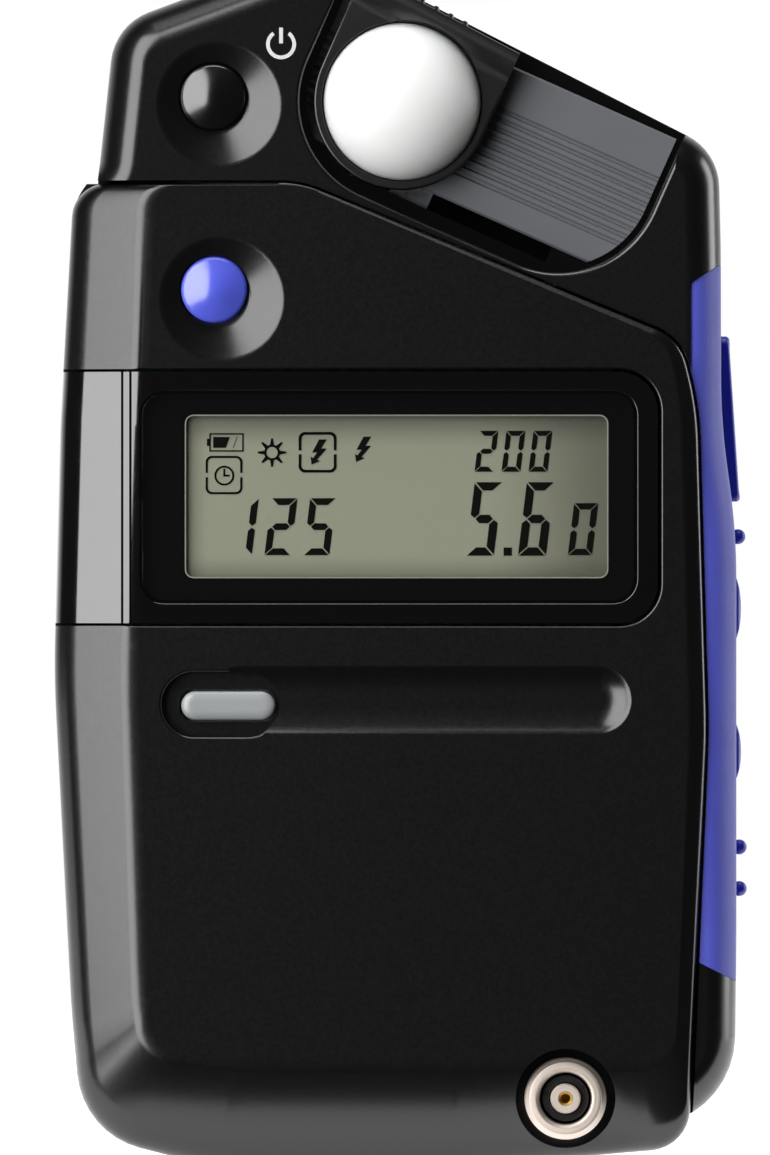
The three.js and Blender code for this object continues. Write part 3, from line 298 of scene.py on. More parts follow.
def rings_piece(name, rings):
    """A closed body through rings of points: a grid is wrapped round them, and its ends filled"""
    start_fresh()
    count = len(rings[0])
    bpy.ops.mesh.primitive_grid_add(x_subdivisions=count, y_subdivisions=len(rings) - 1)
    piece = bpy.context.object
    piece.name = name
    with editing(piece) as mesh:
        mesh.verts.ensure_lookup_table()
        for i, vert in enumerate(mesh.verts):
            ring, place = divmod(i, count + 1)
            vert.co = rings[ring][place % count]
        bmesh.update_edit_mesh(piece.data)
        bpy.ops.mesh.select_all(action="SELECT")
        bpy.ops.mesh.remove_doubles(threshold=1e-7)
        bpy.ops.mesh.select_all(action="SELECT")
        bpy.ops.mesh.fill_holes(sides=0)
        bpy.ops.mesh.select_all(action="SELECT")
        bpy.ops.mesh.normals_make_consistent(inside=False)
    return piece


def at_depth(points, y):
    return [Vector((p.x, y, p.y)) for p in points]


def stack(outline, rows):
    """Rings of one outline, from rows of how far it grows and at which depth it lies"""
    return [at_depth(grow(outline, by), y) for by, y in rows]


def sink(name, outline, rows):
    return rings_piece(name, stack(outline, rows))


def prism(outline, y_front, y_rear):
    return sink("prism", outline, [(0, y_front), (0, y_rear)])


def through(outline):
    """A prism that reaches through the whole case"""
    return prism(outline, -FAR, FAR)


def broken_edge(y, edge, way=1):
    """Rows of an edge that is broken by a small chamfered round, from its face at y"""
    return [(-edge, y), (-0.3 * edge, y + way * 0.3 * edge), (0, y + way * edge)]


def turned(name, centre, profile, steps=ROUND_STEPS):
    """A turned piece: its profile of radius and depth is spun about an axis along Y"""
    start_fresh()
    bpy.ops.mesh.primitive_circle_add(vertices=len(profile))
    piece = bpy.context.object
    piece.name = name
    axis = Vector((centre.x, 0, centre.y))
    with editing(piece) as mesh:
        mesh.verts.ensure_lookup_table()
        for vert, (radius, y) in zip(mesh.verts, profile):
            vert.co = axis + Vector((radius, y, 0))
        on_axis = {vert for vert, (radius, _) in zip(mesh.verts, profile) if radius < 1e-7}
        along_axis = [edge for edge in mesh.edges if set(edge.verts) <= on_axis]
        bmesh.ops.delete(mesh, geom=along_axis, context="EDGES")
        bmesh.update_edit_mesh(piece.data)
        bpy.ops.mesh.select_all(action="SELECT")
        bpy.ops.mesh.spin(steps=steps, angle=2 * math.pi, center=axis, axis=(0, 1, 0))
        bpy.ops.mesh.select_all(action="SELECT")
        bpy.ops.mesh.remove_doubles(threshold=1e-7)
        bpy.ops.mesh.select_all(action="SELECT")
        bpy.ops.mesh.normals_make_consistent(inside=False)
    return piece


def block(name, low, high):
    """A box between two corners"""
    start_fresh()
    low, high = Vector(low), Vector(high)
    bpy.ops.mesh.primitive_cube_add(size=1, location=(low + high) / 2)
    piece = bpy.context.object
    piece.name = name
    piece.scale = high - low
    bpy.ops.object.transform_apply(location=True, rotation=True, scale=True)
    return piece


def work(piece, kind, **settings):
    """Adds a modifier to a piece and applies it"""
    make_active(piece)
    modifier = piece.modifiers.new(kind.title(), kind)
    for key, value in settings.items():
        setattr(modifier, key, value)
    bpy.ops.object.modifier_apply(modifier=modifier.name)


def combine(piece, others, operation):
    for other in others:
        work(piece, "BOOLEAN", object=other, operation=operation, solver="EXACT")
        bpy.data.objects.remove(other)
    return piece


def cut(piece, *others):
    return combine(piece, others, "DIFFERENCE")


def join(piece, *others):
    return combine(piece, others, "UNION")


def common(piece, *others):
    return combine(piece, others, "INTERSECT")


def soften(piece, width, angle):
    """Rounds the edges that are sharper than an angle"""
    work(piece, "BEVEL", width=width, segments=2, limit_method="ANGLE",
         angle_limit=math.radians(angle), harden_normals=False)
    return piece


def smooth(piece, angle=32):
    """Smooth shading that keeps flat faces flat"""
    make_active(piece)
    bpy.ops.object.shade_smooth_by_angle(angle=math.radians(angle))
    work(piece, "WEIGHTED_NORMAL", keep_sharp=True, weight=100)
    return piece


def from_cad(name, node):
    """A copy of a CAD solid with its loose triangles merged and its flat faces made whole"""
    start_fresh()
    piece = bpy.data.objects.new(name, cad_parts[node].data.copy())
    bpy.context.scene.collection.objects.link(piece)
    piece.data.materials.clear()
    with editing(piece):
        bpy.ops.mesh.select_all(action="SELECT")
        bpy.ops.mesh.remove_doubles(threshold=1e-6)
        bpy.ops.mesh.dissolve_limited(angle_limit=math.radians(0.2))
    return piece


def place_piece(piece, body, nodes, look):
    """Gives a finished piece its material and its place on the frame"""
    piece.data.materials.clear()
    piece.data.materials.append(finish(look))
    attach(piece, body)
    if nodes:
        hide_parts(*nodes)


def place_moulding(piece, body, node):
    """Smooths and places one of the case's black mouldings"""
    place_piece(smooth(piece), body, [node], "case_abs_spark_textured")


# Materials


def linear(code):
    """An sRGB hex colour as the linear colour that a shader takes"""
    channels = [int(code[i:i + 2], 16) / 255 for i in (0, 2, 4)]
    return [c / 12.92 if c <= 0.04045 else ((c + 0.055) / 1.055) ** 2.4 for c in channels] + [1]


def shade(code, factor):
    return [c * factor for c in linear(code)[:3]] + [1]


def add_node(tree, kind, settings=None, **inputs):
    """Adds a node with its settings, and sets or links its inputs: by name with _ for a space, or
    by number as at0, at1 and so on"""
    node = tree.nodes.new(kind)
    for key, value in (settings or {}).items():
        setattr(node, key, value)
    for key, value in inputs.items():
        socket = node.inputs[int(key[2:]) if key.startswith("at") else key.replace("_", " ")]
        if isinstance(value, bpy.types.NodeSocket):
            tree.links.new(value, socket)
        else:
            socket.default_value = value
    return node


def new_finish(name, *lumps, **constants):
    """A material with one shader, whose constant values are set on its own sockets. Each pair of a
    real size and a detail gives a noise whose lumps are about that size."""
    material = bpy.data.materials.new(name)
    material.use_nodes = True
    tree = material.node_tree
    shader = tree.nodes["Principled BSDF"]
    for key, value in constants.items():
        shader.inputs[key.replace("_", " ")].default_value = value
    place = add_node(tree, "ShaderNodeTexCoord").outputs["Object"]
    noises = [add_node(tree, "ShaderNodeTexNoise", Vector=place, Scale=1 / (2 * size),
                       Detail=detail, Roughness=0.6) for size, detail in lumps]
    return tree, place, *[noise.outputs["Fac"] for noise in noises]


def vary(tree, colour, gloss, relief=None, keeps=(0.3, 0.7)):
    """Changes a finish over its patterns: its colour between two shades, its roughness between two
    values, and its surface by a depth and a strength. Noise keeps to the middle of 0 to 1, so it is
    stretched; keeps is the range of the colour's pattern."""
    shader = tree.nodes["Principled BSDF"]
    if colour:
        pattern, dark, light = colour
        share = add_node(tree, "ShaderNodeMapRange", Value=pattern, From_Min=keeps[0],
                         From_Max=keeps[1])
        mixed = add_node(tree, "ShaderNodeMix", {"data_type": "RGBA"}, at0=share.outputs["Result"],
                         at6=dark, at7=light)
        tree.links.new(mixed.outputs[2], shader.inputs["Base Color"])
    pattern, low, high = gloss
    dull = add_node(tree, "ShaderNodeMapRange", Value=pattern, From_Min=0.3, From_Max=0.7,
                    To_Min=low, To_Max=high)
    tree.links.new(dull.outputs["Result"], shader.inputs["Roughness"])
    if relief:
        pattern, depth, strength = relief
        raised = add_node(tree, "ShaderNodeBump", Height=pattern, Distance=depth, Strength=strength)
        tree.links.new(raised.outputs["Normal"], shader.inputs["Normal"])


def moulded_abs(name, code, roughness=0.23, grain_size=0.16 * MM, depth=0.01 * MM):
    """ABS from a spark-eroded mould: an even fine grain that dulls and widens every highlight"""
    tree, _, fine, broad = new_finish(
        name, (grain_size, 3), (9 * MM, 2), IOR=1.53, Specular_IOR_Level=0.65)
    vary(tree, (broad, shade(code, 0.95), shade(code, 1.05)),
         (fine, roughness - 0.02, roughness + 0.03), (fine, depth, 0.25))


def polished_abs(name, code, roughness=0.1):
    """ABS from a polished mould: glossy, with the faint long waves that a moulding keeps"""
    tree, _, waves, fine = new_finish(
        name, (5 * MM, 1), (0.8 * MM, 3), IOR=1.53, Coat_Weight=1.0, Coat_Roughness=roughness,
        Coat_IOR=1.5)
    vary(tree, (waves, shade(code, 0.92), shade(code, 1.08)),
         (fine, roughness * 0.8, roughness * 1.3), (waves, 0.01 * MM, 0.3))


def soft_elastomer(name, code):
    """Moulded elastomer over the hard case: matt and a little chalky, with a fine even grain"""
    tree, _, fine, broad = new_finish(
        name, (0.2 * MM, 3), (6 * MM, 2), IOR=1.5, Specular_IOR_Level=0.4, Sheen_Weight=0.35,
        Sheen_Roughness=0.4)
    vary(tree, (broad, shade(code, 0.93), shade(code, 1.06)), (fine, 0.48, 0.62),
         (fine, 0.015 * MM, 0.5))


def opal_acrylic(name, code):
    """Opal acrylic, moulded and matted: light spreads inside it, so it looks evenly white"""
    tree, _, haze, fine = new_finish(
        name, (3 * MM, 2), (0.3 * MM, 3), IOR=1.49, Specular_IOR_Level=0.35, Subsurface_Weight=1.0,
        Subsurface_Scale=3 * MM, Subsurface_Radius=(1, 0.95, 0.9))
    vary(tree, (haze, shade(code, 0.98), shade(code, 1.0)), (fine, 0.45, 0.55))


def turned_metal(name, code, roughness, centre):
    """Turned and plated brass: the tool leaves rings too fine to see singly, which stretch a
    highlight"""
    tree, place = new_finish(name, Metallic=1.0)
    about = add_node(tree, "ShaderNodeMapping", {"vector_type": "TEXTURE"}, Vector=place,
                     Location=(centre.x, 0, centre.y))
    parts = add_node(tree, "ShaderNodeSeparateXYZ", Vector=about.outputs["Vector"])
    flat = add_node(tree, "ShaderNodeCombineXYZ", X=parts.outputs["X"], Y=parts.outputs["Z"])
    radius = add_node(tree, "ShaderNodeVectorMath", {"operation": "LENGTH"}, at0=flat.outputs[0])
    # The rings are drawn 0.12 mm apart, which is coarser than the tool's feed, so that they show
    rings = add_node(
        tree, "ShaderNodeTexNoise", {"noise_dimensions": "1D"}, W=radius.outputs["Value"],
        Scale=1 / (0.12 * MM), Detail=1.0).outputs["Fac"]
    vary(tree, (rings, shade(code, 0.85), shade(code, 1.05)),
         (rings, roughness * 0.8, roughness * 1.4), (rings, 0.004 * MM, 0.4))


def clear_acrylic(name):
    """Clear acrylic pane: almost nothing but its reflections shows"""
    tree, _, haze = new_finish(name, (2 * MM, 3), IOR=1.49, Base_Color=linear("272727"), Alpha=0.1)
    vary(tree, None, (haze, 0.02, 0.05))


def display_film(name, code):
    """Reflector film behind a segment display: grey-green, finely speckled, with painted shade of its
    frame along its edges
    """
    tree, place, speckle = new_finish(name, (0.12 * MM, 2), IOR=1.5, Specular_IOR_Level=0.3)
    parts = add_node(tree, "ShaderNodeSeparateXYZ", Vector=place)
    low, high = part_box("lcd_panel")
    # Painted shade of the frame along each side: its axis, where it starts, how far in it ends, and
    # the light that it leaves
    shades = (("X", low.x + 1 * MM, 3 * MM, 0.3), ("X", high.x, -14 * MM, 0.35),
              ("Z", low.z + 1 * MM, 3 * MM, 0.4), ("Z", high.z - 1 * MM, -4 * MM, 0.3))
    painted_frame_light = 1.0
    for axis, edge, inside, left in shades:
        near = add_node(tree, "ShaderNodeMapRange", {"interpolation_type": "SMOOTHSTEP"},
                        Value=parts.outputs[axis], From_Min=edge, From_Max=edge + inside,
                        To_Min=left, To_Max=1.0)
        painted_frame_light = add_node(tree, "ShaderNodeMath", {"operation": "MULTIPLY"}, at0=near.outputs[0],
                       at1=painted_frame_light).outputs[0]
    # The speckle is added on top of the painted frame shade
    painted_frame_light = add_node(tree, "ShaderNodeMath", {"operation": "MULTIPLY_ADD"}, at0=speckle, at1=0.12,
                   at2=painted_frame_light)
    vary(tree, (painted_frame_light.outputs[0], shade(code, 0.22), shade(code, 1.0)), (speckle, 0.35, 0.5),
         keeps=(0.2, 1.05))


def circuit_board(name):
    """Glass-fibre board under green solder resist: the weave shows faintly through the lacquer"""
    tree, place, fine = new_finish(
        name, (1 * MM, 3), IOR=1.5, Coat_Weight=0.3, Coat_Roughness=0.15)
    # The strands of the glass cloth are 0.5 mm apart
    weave = add_node(
        tree, "ShaderNodeTexWave", {"wave_type": "BANDS", "bands_direction": "DIAGONAL"},
        Vector=place, Scale=1 / (0.5 * MM) / 6.28, Distortion=0.4).outputs["Fac"]
    vary(tree, (weave, shade("174a2c", 0.9), shade("1f5f39", 1.0)), (fine, 0.3, 0.45), keeps=(0, 1))


def pressed_steel(name, code="a5a7aa"):
    """Bright zinc-plated steel: a fine cloudy plating that breaks up the reflection"""
    tree, _, cloud = new_finish(name, (0.6 * MM, 3), Metallic=1.0)
    vary(tree, (cloud, shade(code, 0.85), shade(code, 1.05)), (cloud, 0.25, 0.42))


def screen_ink(name, code, gloss=0.2):
    """Ink or liquid-crystal print, and the painted highlight round the display mask's opening: flat
    and even. Behind a pane it has no gloss of its own.
    """
    tree, _, fine = new_finish(name, (0.1 * MM, 3), IOR=1.45, Specular_IOR_Level=gloss)
    vary(tree, (fine, shade(code, 0.92), shade(code, 1.05)), (fine, 0.5, 0.65))


def finish(kind):
    """One finish of the meter by name, made once"""
    hue = sizes("colours")
    makers = {
        "case_abs_spark_textured": (moulded_abs, hue.case),
        "holder_abs_fine_textured": (moulded_abs, "0e0e10", 0.3, 0.12 * MM, 0.006 * MM),
        "display_surround_polished": (polished_abs, hue.gloss),
        "channel_panel_satin": (moulded_abs, hue.panel, 0.36, 0.12 * MM, 0.004 * MM),
        "grip_elastomer": (soft_elastomer, hue.grip),
        "measuring_key_abs": (moulded_abs, hue.measuring, 0.4, 0.15 * MM, 0.006 * MM),
        "mode_key_polished": (polished_abs, hue.mode, 0.22),
        "power_key_polished": (polished_abs, "08080a", 0.2),
        "long_key_satin": (moulded_abs, hue.key_grey, 0.3, 0.12 * MM, 0.003 * MM),
        "dome_opal_acrylic": (opal_acrylic, hue.dome),
        "pane_clear_acrylic": (clear_acrylic,),
        "lens_clear_acrylic": (clear_acrylic,),
        "display_reflector": (display_film, hue.glass),
        "segment_ink": (screen_ink, "0b0c08", 0),
        # A painted highlight along the edge of the mask's opening
        "mask_edge_ink": (screen_ink, "a6a89b"),
        "mask_print": (screen_ink, "050506", 0),
        "mark_ink": (screen_ink, "d8d9da"),
        "terminal_nickel": (turned_metal, "e2d6cc", 0.5, node_centre("sync_ring")),
        "terminal_gold": (turned_metal, "d2a850", 0.4, node_centre("sync_ring")),
        "terminal_insulator": (polished_abs, "0c0c0d", 0.3),
        "board_green_resist": (circuit_board,),
        "chip_epoxy": (moulded_abs, "202022", 0.5),
        "frame_grey_abs": (moulded_abs, "5f6164", 0.45),
        "connector_rubber": (soft_elastomer, "8a8a8c"),
        "pressed_steel": (pressed_steel,),
        "screw_black_steel": (pressed_steel, "2c2c2e"),
        "cell_printed_wrap": (polished_abs, "8f949c", 0.3),
    }
    if kind not in bpy.data.materials:
        maker, *choices = makers[kind]
        maker(kind, *choices)
    return bpy.data.materials[kind]


def node_centre(node):
    low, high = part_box(node)
    return Vector(((low.x + high.x) / 2, (low.z + high.z) / 2))


# Shapes that several mouldings share


def across_range(low, high, count):
    return [low + (high - low) * k / count for k in range(count + 1)]


def roll(power, steps=10):
    """Rows of an edge's roll along a superellipse: share still drawn in, share of depth reached"""
    rows = []
    for step in range(steps + 1):
        angle = math.pi / 2 * (1 - step / steps)
        rows.append((1 - math.cos(angle) ** (2 / power), 1 - math.sin(angle) ** (2 / power)))
    return rows


def curve(start, pull, end, count):
    """Points along a curve from a start to an end, drawn towards a third point"""
    return [start * (1 - t) ** 2 + pull * (2 * t * (1 - t)) + end * t ** 2
            for t in across_range(0, 1, count)]


# How far out and how deep the bevel's flat facet reaches, as shares of the bevel's width and depth.
# Where the bevel is narrow the facet keeps its slope and reaches less deep.
FACET_OUT_SHARE = 0.69
FACET_DEPTH_SHARE = 0.43
FACET_SLOPE = math.tan(math.radians(27.5))
LEAST_BEVEL = 0.2 * MM
# The crease is no wider than a share of the bevel, and runs half as far down the facet
CREASE_SHARE = 0.2
CREASE_STEPS, ROLL_STEPS = 5, 8


def right_edge_at(outline, z):
    """How far right an outline reaches at a height"""
    ends = [(a, b) for a, b in zip(outline, outline[1:]) if (a.y - z) * (b.y - z) < 0]
    return max((a.lerp(b, (z - a.y) / (b.y - a.y)).x for a, b in ends), default=outline[0].x)


def bevel_section(outer, inner, room):
    """One section of the bevel, from the flat face to the side: a soft crease, a facet and a roll.
    The facet falls no deeper than its slope allows over the room beside the face."""
    case = sizes("case")
    reach = outer - inner
    width = min(reach.length, max(room, LEAST_BEVEL))
    sloped = FACET_OUT_SHARE * width * FACET_SLOPE
    drop = Vector((0, min(FACET_DEPTH_SHARE * case.bevel_depth, sloped), 0))
    facet = reach * FACET_OUT_SHARE + drop
    soft = min(case.crease, CREASE_SHARE * width)
    crease_end = inner + facet * min(0.5 * soft / facet.length, 0.45)
    side = outer + drop / FACET_OUT_SHARE
    rolled = min(side.y + (side - inner - facet).length, outer.y + case.bevel_depth)
    return curve(inner - reach.normalized() * soft, inner, crease_end, CREASE_STEPS) + curve(
        inner + facet, side, Vector((outer.x, rolled, outer.z)), ROLL_STEPS)


def cover_rings(inward):
    """Rings of the main face's moulding, from its flat edge over the bevel to the side, and its
    outline. Inside the wall no corner is so tight that it would fold."""
    least_radius = inward / MM + 2 if inward else 0
    y_face = FACE_Y + inward
    outline, flat = (
        grow(case_outline([(x, z, max(radius, least_radius)) for x, z, radius in rows],
                          DIVIDED_STRETCHES), -inward)
        for rows in (COVER_OUTLINE_SHARES, COVER_FLAT_SHARES))
    sections = [bevel_section(outer, inner, right_edge_at(outline, inner.z) - inner.x)
                for outer, inner in zip(at_depth(outline, y_face), at_depth(flat, y_face))]
    return [list(ring) for ring in zip(*sections)], outline


def cover_body(name):
    rings, outline = cover_rings(0)
    return rings_piece(name, rings + stack(outline, reversed(broken_edge(PARTING_Y, 0.2 * MM, -1))))


def cover_cavity(inward):
    rings, outline = cover_rings(inward)
    return rings_piece("cavity", rings + [at_depth(outline, PARTING_Y + OVERRUN)])


def rim_rings(outline, inset, depth, y_edge, direction, inward=0):
    """Rings of a rolled rim, from the face at y_edge to the outline"""
    return stack(outline, [
        (-drawn * inset - inward, y_edge + direction * (inward + down * depth))
        for drawn, down in roll(1.9)])


def flared(outline, y_face, y_bottom, radius):
    """A cutter whose rim is rounded where it leaves the face"""
    rows = [(radius, y_face - OVERRUN), (radius, y_face - SKIN)]
    rows += [(radius * (1 - math.sin(angle)), y_face + radius * (1 - math.cos(angle)))
             for angle in across_range(0, math.pi / 2, 5)[1:]]
    return sink("cutter", outline, rows + [(0, y_bottom)])


def circle(centre, radius, steps=ROUND_STEPS):
    turns = [k / steps * 2 * math.pi for k in range(steps)]
    return [centre + radius * Vector((math.cos(turn), math.sin(turn))) for turn in turns]


def key_hole(centre):
    key = sizes("keys")
    return prism(circle(centre, key.radius + key.clearance), *KEY_HOLE_DEPTHS)


def finger_hollow(centre, y_face):
    """A cutter for the round hollow about a key: a cone whose rim runs softly into the face"""
    key = sizes("keys")
    radius, depth, soft = key.dish_radius, key.dish_depth, 0.25 * MM
    foot = Vector((key.radius - 0.4 * MM, y_face + depth))
    rim = Vector((radius, y_face - SKIN))
    start = rim + (foot - rim).normalized() * soft
    profile = [(0, foot.y), tuple(foot)]
    profile += [tuple(point) for point in curve(start, rim, rim + Vector((soft, 0)), 4)]
    profile += [(radius + soft, y_face - OVERRUN), (0, y_face - OVERRUN)]
    return turned("cutter", centre, profile)


def band_outline():
    """The display's band runs round the left side, so its outline starts beyond it"""
    right, low, high, corner = 23.39 * MM, 49.8 * MM, 72.7 * MM, 3.6 * MM
    left = CAD_LOW.x - OVERRUN
    middle = Vector(((left + right) / 2, (low + high) / 2))
    return slot_outline(middle, right - left, high - low, corner)


def trough_outline(by):
    """The dome channel's outline in its own frame: two round lower corners and straight sides up"""
    channel = sizes("channel")
    radius = channel.end_radius + by
    points = []
    for centre, start in ((0, math.pi), (channel.travel, 1.5 * math.pi)):
        for angle in across_range(start, start + math.pi / 2, 24):
            points.append(Vector((centre + radius * math.cos(angle), radius * math.sin(angle))))
    points += [Vector((x, channel.headroom)) for x in (channel.travel + radius, -radius)]
    return into_channel(points)


# Places on the grip's slanting ends with their slopes, and its depths. It fits its bed tightly.
GRIP_UPPER_END, GRIP_UPPER_SLOPE = Vector((25.9, 80.5)) * MM, 0.62
GRIP_LOWER_END, GRIP_LOWER_SLOPE = Vector((30.3, 17.3)) * MM, -0.5
GRIP_FRONT = -8.0 * MM
GRIP_BACK = 9.6 * MM
GRIP_THICKNESS = 2.2 * MM
GRIP_FRONT_THICKNESS = 3.3 * MM
GRIP_FIT = 0.04 * MM


def grip_outline(clearance):
    """The grip's region seen from the front: its ends slant"""
    inner, outer = face_place(0.3, 0).x, face_place(1, 0).x
    upper, lower = GRIP_UPPER_END, GRIP_LOWER_END
    return [Vector((x, lower.y + GRIP_LOWER_SLOPE * (x - lower.x) - clearance))
            for x in (inner, outer)] + [
        Vector((x, upper.y + GRIP_UPPER_SLOPE * (x - upper.x) + clearance)) for x in (outer, inner)]


def grip_room(clearance):
    """The region that the grip takes from the mouldings: it is thicker beside the main face"""
    outline, seam = case_outline(REAR_OUTLINE_SHARES), sizes("case").seam
    region = prism(grip_outline(clearance), GRIP_FRONT - seam, GRIP_BACK + seam)
    return cut(region, through(grow(outline, -GRIP_FRONT_THICKNESS - seam)),
               prism(grow(outline, -GRIP_THICKNESS - seam), PARTING_Y, FAR))


def shoulder_notch():
    """A cutter that lets the head's left side run straight down to the main face's shoulder"""
    top, low = spot("shoulder top"), spot("shoulder")
    far = low.x - 10 * MM
    return through([Vector((far, low.y)), low, top, Vector((far, top.y))])


# The main face, its head and its back


TERMINAL_FRONT, TERMINAL_FLOOR, CUP_FLOOR = -14 * MM, -4.6 * MM, -3.5 * MM
TERMINAL_BORE = 2.35 * MM
CUP_RADIUS = 5.6 * MM


def build_front_cover():
    """The main face with what is cut into it. A cup about the terminal and a pad behind the long
    key stay solid."""
    case = sizes("case")
    body = cover_body("front_cover_moulding")
    cavity = cover_cavity(case.wall)
    cup = turned("cup", spot("terminal"), [(0, -12 * MM), (CUP_RADIUS, -12 * MM),
                                           (CUP_RADIUS, CUP_FLOOR), (0, CUP_FLOOR)])
    pad_outline = slot_outline(spot("switch pad"), 43.7 * MM, 8.4 * MM, 1 * MM)
    cut(cavity, cup, prism(pad_outline, FACE_Y, FACE_Y + 2.9 * MM))
    cut(body, cavity)
    cut(body, flared(grow(band_outline(), case.seam), FACE_Y, FACE_Y + 6.35 * MM, 0.25 * MM))
    cut(body, finger_hollow(spot("mode hollow"), FACE_Y))
    cut(body, key_hole(spot("mode key")))
    cut(body, scooped_groove())
    pocket = slot_outline(spot("long pocket"), 10.7 * MM, 5.9 * MM, 2.95 * MM)
    cut(body, flared(pocket, FACE_Y, FACE_Y + 1.3 * MM, 0.3 * MM))
    key_slot = slot_outline(spot("long key"), 8.95 * MM, 3.0 * MM, 1.3 * MM)
    cut(body, prism(key_slot, *KEY_HOLE_DEPTHS))
    cut(body, prism(circle(spot("terminal"), 4.55 * MM), TERMINAL_FRONT, TERMINAL_FLOOR))
    cut(body, prism(circle(spot("terminal"), TERMINAL_BORE), TERMINAL_FRONT, 0))
    place_moulding(body, "case", "front_cover")


def scooped_groove():
    """A cutter for the groove right of the long key: its section is a shallow curve"""
    left, right = spot("groove left"), spot("groove right")
    height, depth = 6 * MM, 0.8 * MM
    outline = slot_outline((left + right) / 2, (right - left).length, height, height / 2, steps=16)
    soft = 0.2 * MM
    rows = [(soft, FACE_Y - OVERRUN), (soft, FACE_Y - SKIN)]
    rows += [(-0.38 * height * t, FACE_Y + 0.06 * depth + 0.94 * depth * (1 - (1 - t) ** 2))
             for t in across_range(0, 1, 8)]
    return sink("cutter", outline, rows)


def build_head_cover():
    """The head with the dome's channel. The tray of the channel is polished."""
    case, channel = sizes("case"), sizes("channel")
    outline, cover = case_outline(REAR_OUTLINE_SHARES), case_outline(COVER_OUTLINE_SHARES)
    edge = 0.2 * MM
    rim = (case.rim_inset, case.rim_depth, HEAD_Y, 1)
    body = rings_piece("head_cover_moulding", rim_rings(outline, *rim) + stack(
        outline, [(0, PARTING_Y - edge), (-edge, PARTING_Y)]))
    cavity = rings_piece("cavity", rim_rings(outline, *rim, case.wall) + stack(
        outline, [(-case.wall, PARTING_Y + OVERRUN)]))
    y_tray = HEAD_Y + channel.floor_depth
    tray_wall, cover_wall = 1.3 * MM, 1.2 * MM
    cut(cavity, prism(trough_outline(tray_wall), -FAR, y_tray + tray_wall),
        prism(grow(cover, case.seam + cover_wall), -FAR, PARTING_Y - 0.3 * MM))
    cut(body, cavity)
    cut(body, block("below", (-BESIDE, -FAR, -OVERRUN), (BESIDE, OVERRUN, 0.66 * HEIGHT)))
    foot = (-11 * MM, OVERRUN, PLACES["shoulder"][1] * HEIGHT + case.seam)
    cut(body, block("foot", (-BESIDE, -FAR, 0), foot))
    cut(body, prism(grow(cover, case.seam), -FAR, OVERRUN))
    cut(body, flared(trough_outline(0), HEAD_Y, y_tray, 0.45 * MM))
    cut(body, grip_room(GRIP_FIT), shoulder_notch())
    middle = into_channel([Vector((channel.travel / 2, -7.25 * MM))])[0]
    half_length, half_width = 10.09 * MM, 0.75 * MM
    slot = box_outline(Vector((-half_length, -half_width)), Vector((half_length, half_width)))
    turn = Matrix.Rotation(-channel.turn, 2)
    cut(body, prism([middle + turn @ p for p in slot], -OVERRUN, 0))
    cut(body, prism(circle(spot("dome"), 4.15 * MM), -OVERRUN, 0))
    cut(body, finger_hollow(spot("power hollow"), HEAD_Y))
    cut(body, key_hole(spot("power key")))
    place_moulding(body, "case", "head_cover")
    body.data.materials.append(finish("display_surround_polished"))
    for face in body.data.polygons:
        if abs(face.center.y - y_tray) < 0.02 * MM and face.normal.y < -0.9:
            face.material_index = 1


SCREW_NODES = ["case_screw_1", "case_screw_2", "case_screw_3", "case_screw_4"]
SIDE_KEYS = {
    "measuring_button": "measuring_key", "up_key": "up_key_body", "down_key": "down_key_body"}
SIDE_KEY_Y = 2.6 * MM
SCREW_STEPS = 48


def side_hole(node):
    """A cutter round a side key's cap"""
    low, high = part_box(node)
    cap_low, cap_high = cap_box(node)
    clearance = Vector((0, 0.2, 0.2)) * MM
    return block("cutter", Vector((low.x, cap_low.y, cap_low.z)) - clearance,
                 Vector((high.x + OVERRUN, cap_high.y, cap_high.z)) + clearance)


def cap_box(node):
    """The cap of a side key: its flange stands out 0.7 mm all round"""
    low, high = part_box(node)
    flange = Vector((0, 0.7 * MM, 0.7 * MM))
    return low + flange, high - flange


def rear_rings(inward, front):
    """Rings of the rear shell, or inside its wall, from the parting to the back"""
    outline = case_outline(REAR_OUTLINE_SHARES)
    edge = 0.15 * MM
    rim = rim_rings(outline, sizes("case").back_inset, 4 * MM, BACK_Y, -1, inward)
    return stack(outline, [(-inward - edge, front), (-inward, front + edge)]) + rim[::-1]


REAR_WALL = 1.6 * MM
DOOR_RIGHT_SHARE = 0.33
DOOR_MIDDLE_Z = 22 * MM
DOOR_HALF = 7.7 * MM
DOOR_FRONT_Y = 5.5 * MM


def door_region(clearance):
    right = face_place(DOOR_RIGHT_SHARE, 0).x + clearance
    return block("door_region",
                 (-BESIDE, DOOR_FRONT_Y - clearance, DOOR_MIDDLE_Z - DOOR_HALF - clearance),
                 (right, FAR, DOOR_MIDDLE_Z + DOOR_HALF + clearance))


def grip_front_rings():
    """Rings of the rolled edge that the grip and the shell below it share beside the main face"""
    return rim_rings(case_outline(REAR_OUTLINE_SHARES), 2.8 * MM, 4 * MM, GRIP_FRONT, 1)


def rear_shoulder():
    """Below the grip the rear shell comes forward beside the main face, as far as the grip does"""
    outline, cover = case_outline(REAR_OUTLINE_SHARES), case_outline(COVER_OUTLINE_SHARES)
    rings = grip_front_rings() + [at_depth(outline, REAR_EDGE_Y + REAR_WALL)]
    shoulder = rings_piece("shoulder", rings)
    inner, outer = grip_outline(0)[:2]
    feet = [Vector((end.x, -OVERRUN)) for end in (inner, outer)]
    common(shoulder, through(feet + [outer, inner]))
    # The second cutter ends before the first, so that no two of their faces lie in one plane
    return cut(shoulder, prism(grow(cover, sizes("case").seam), -FAR, REAR_EDGE_Y),
               prism(grow(cover, -REAR_WALL), -19 * MM, 19 * MM))


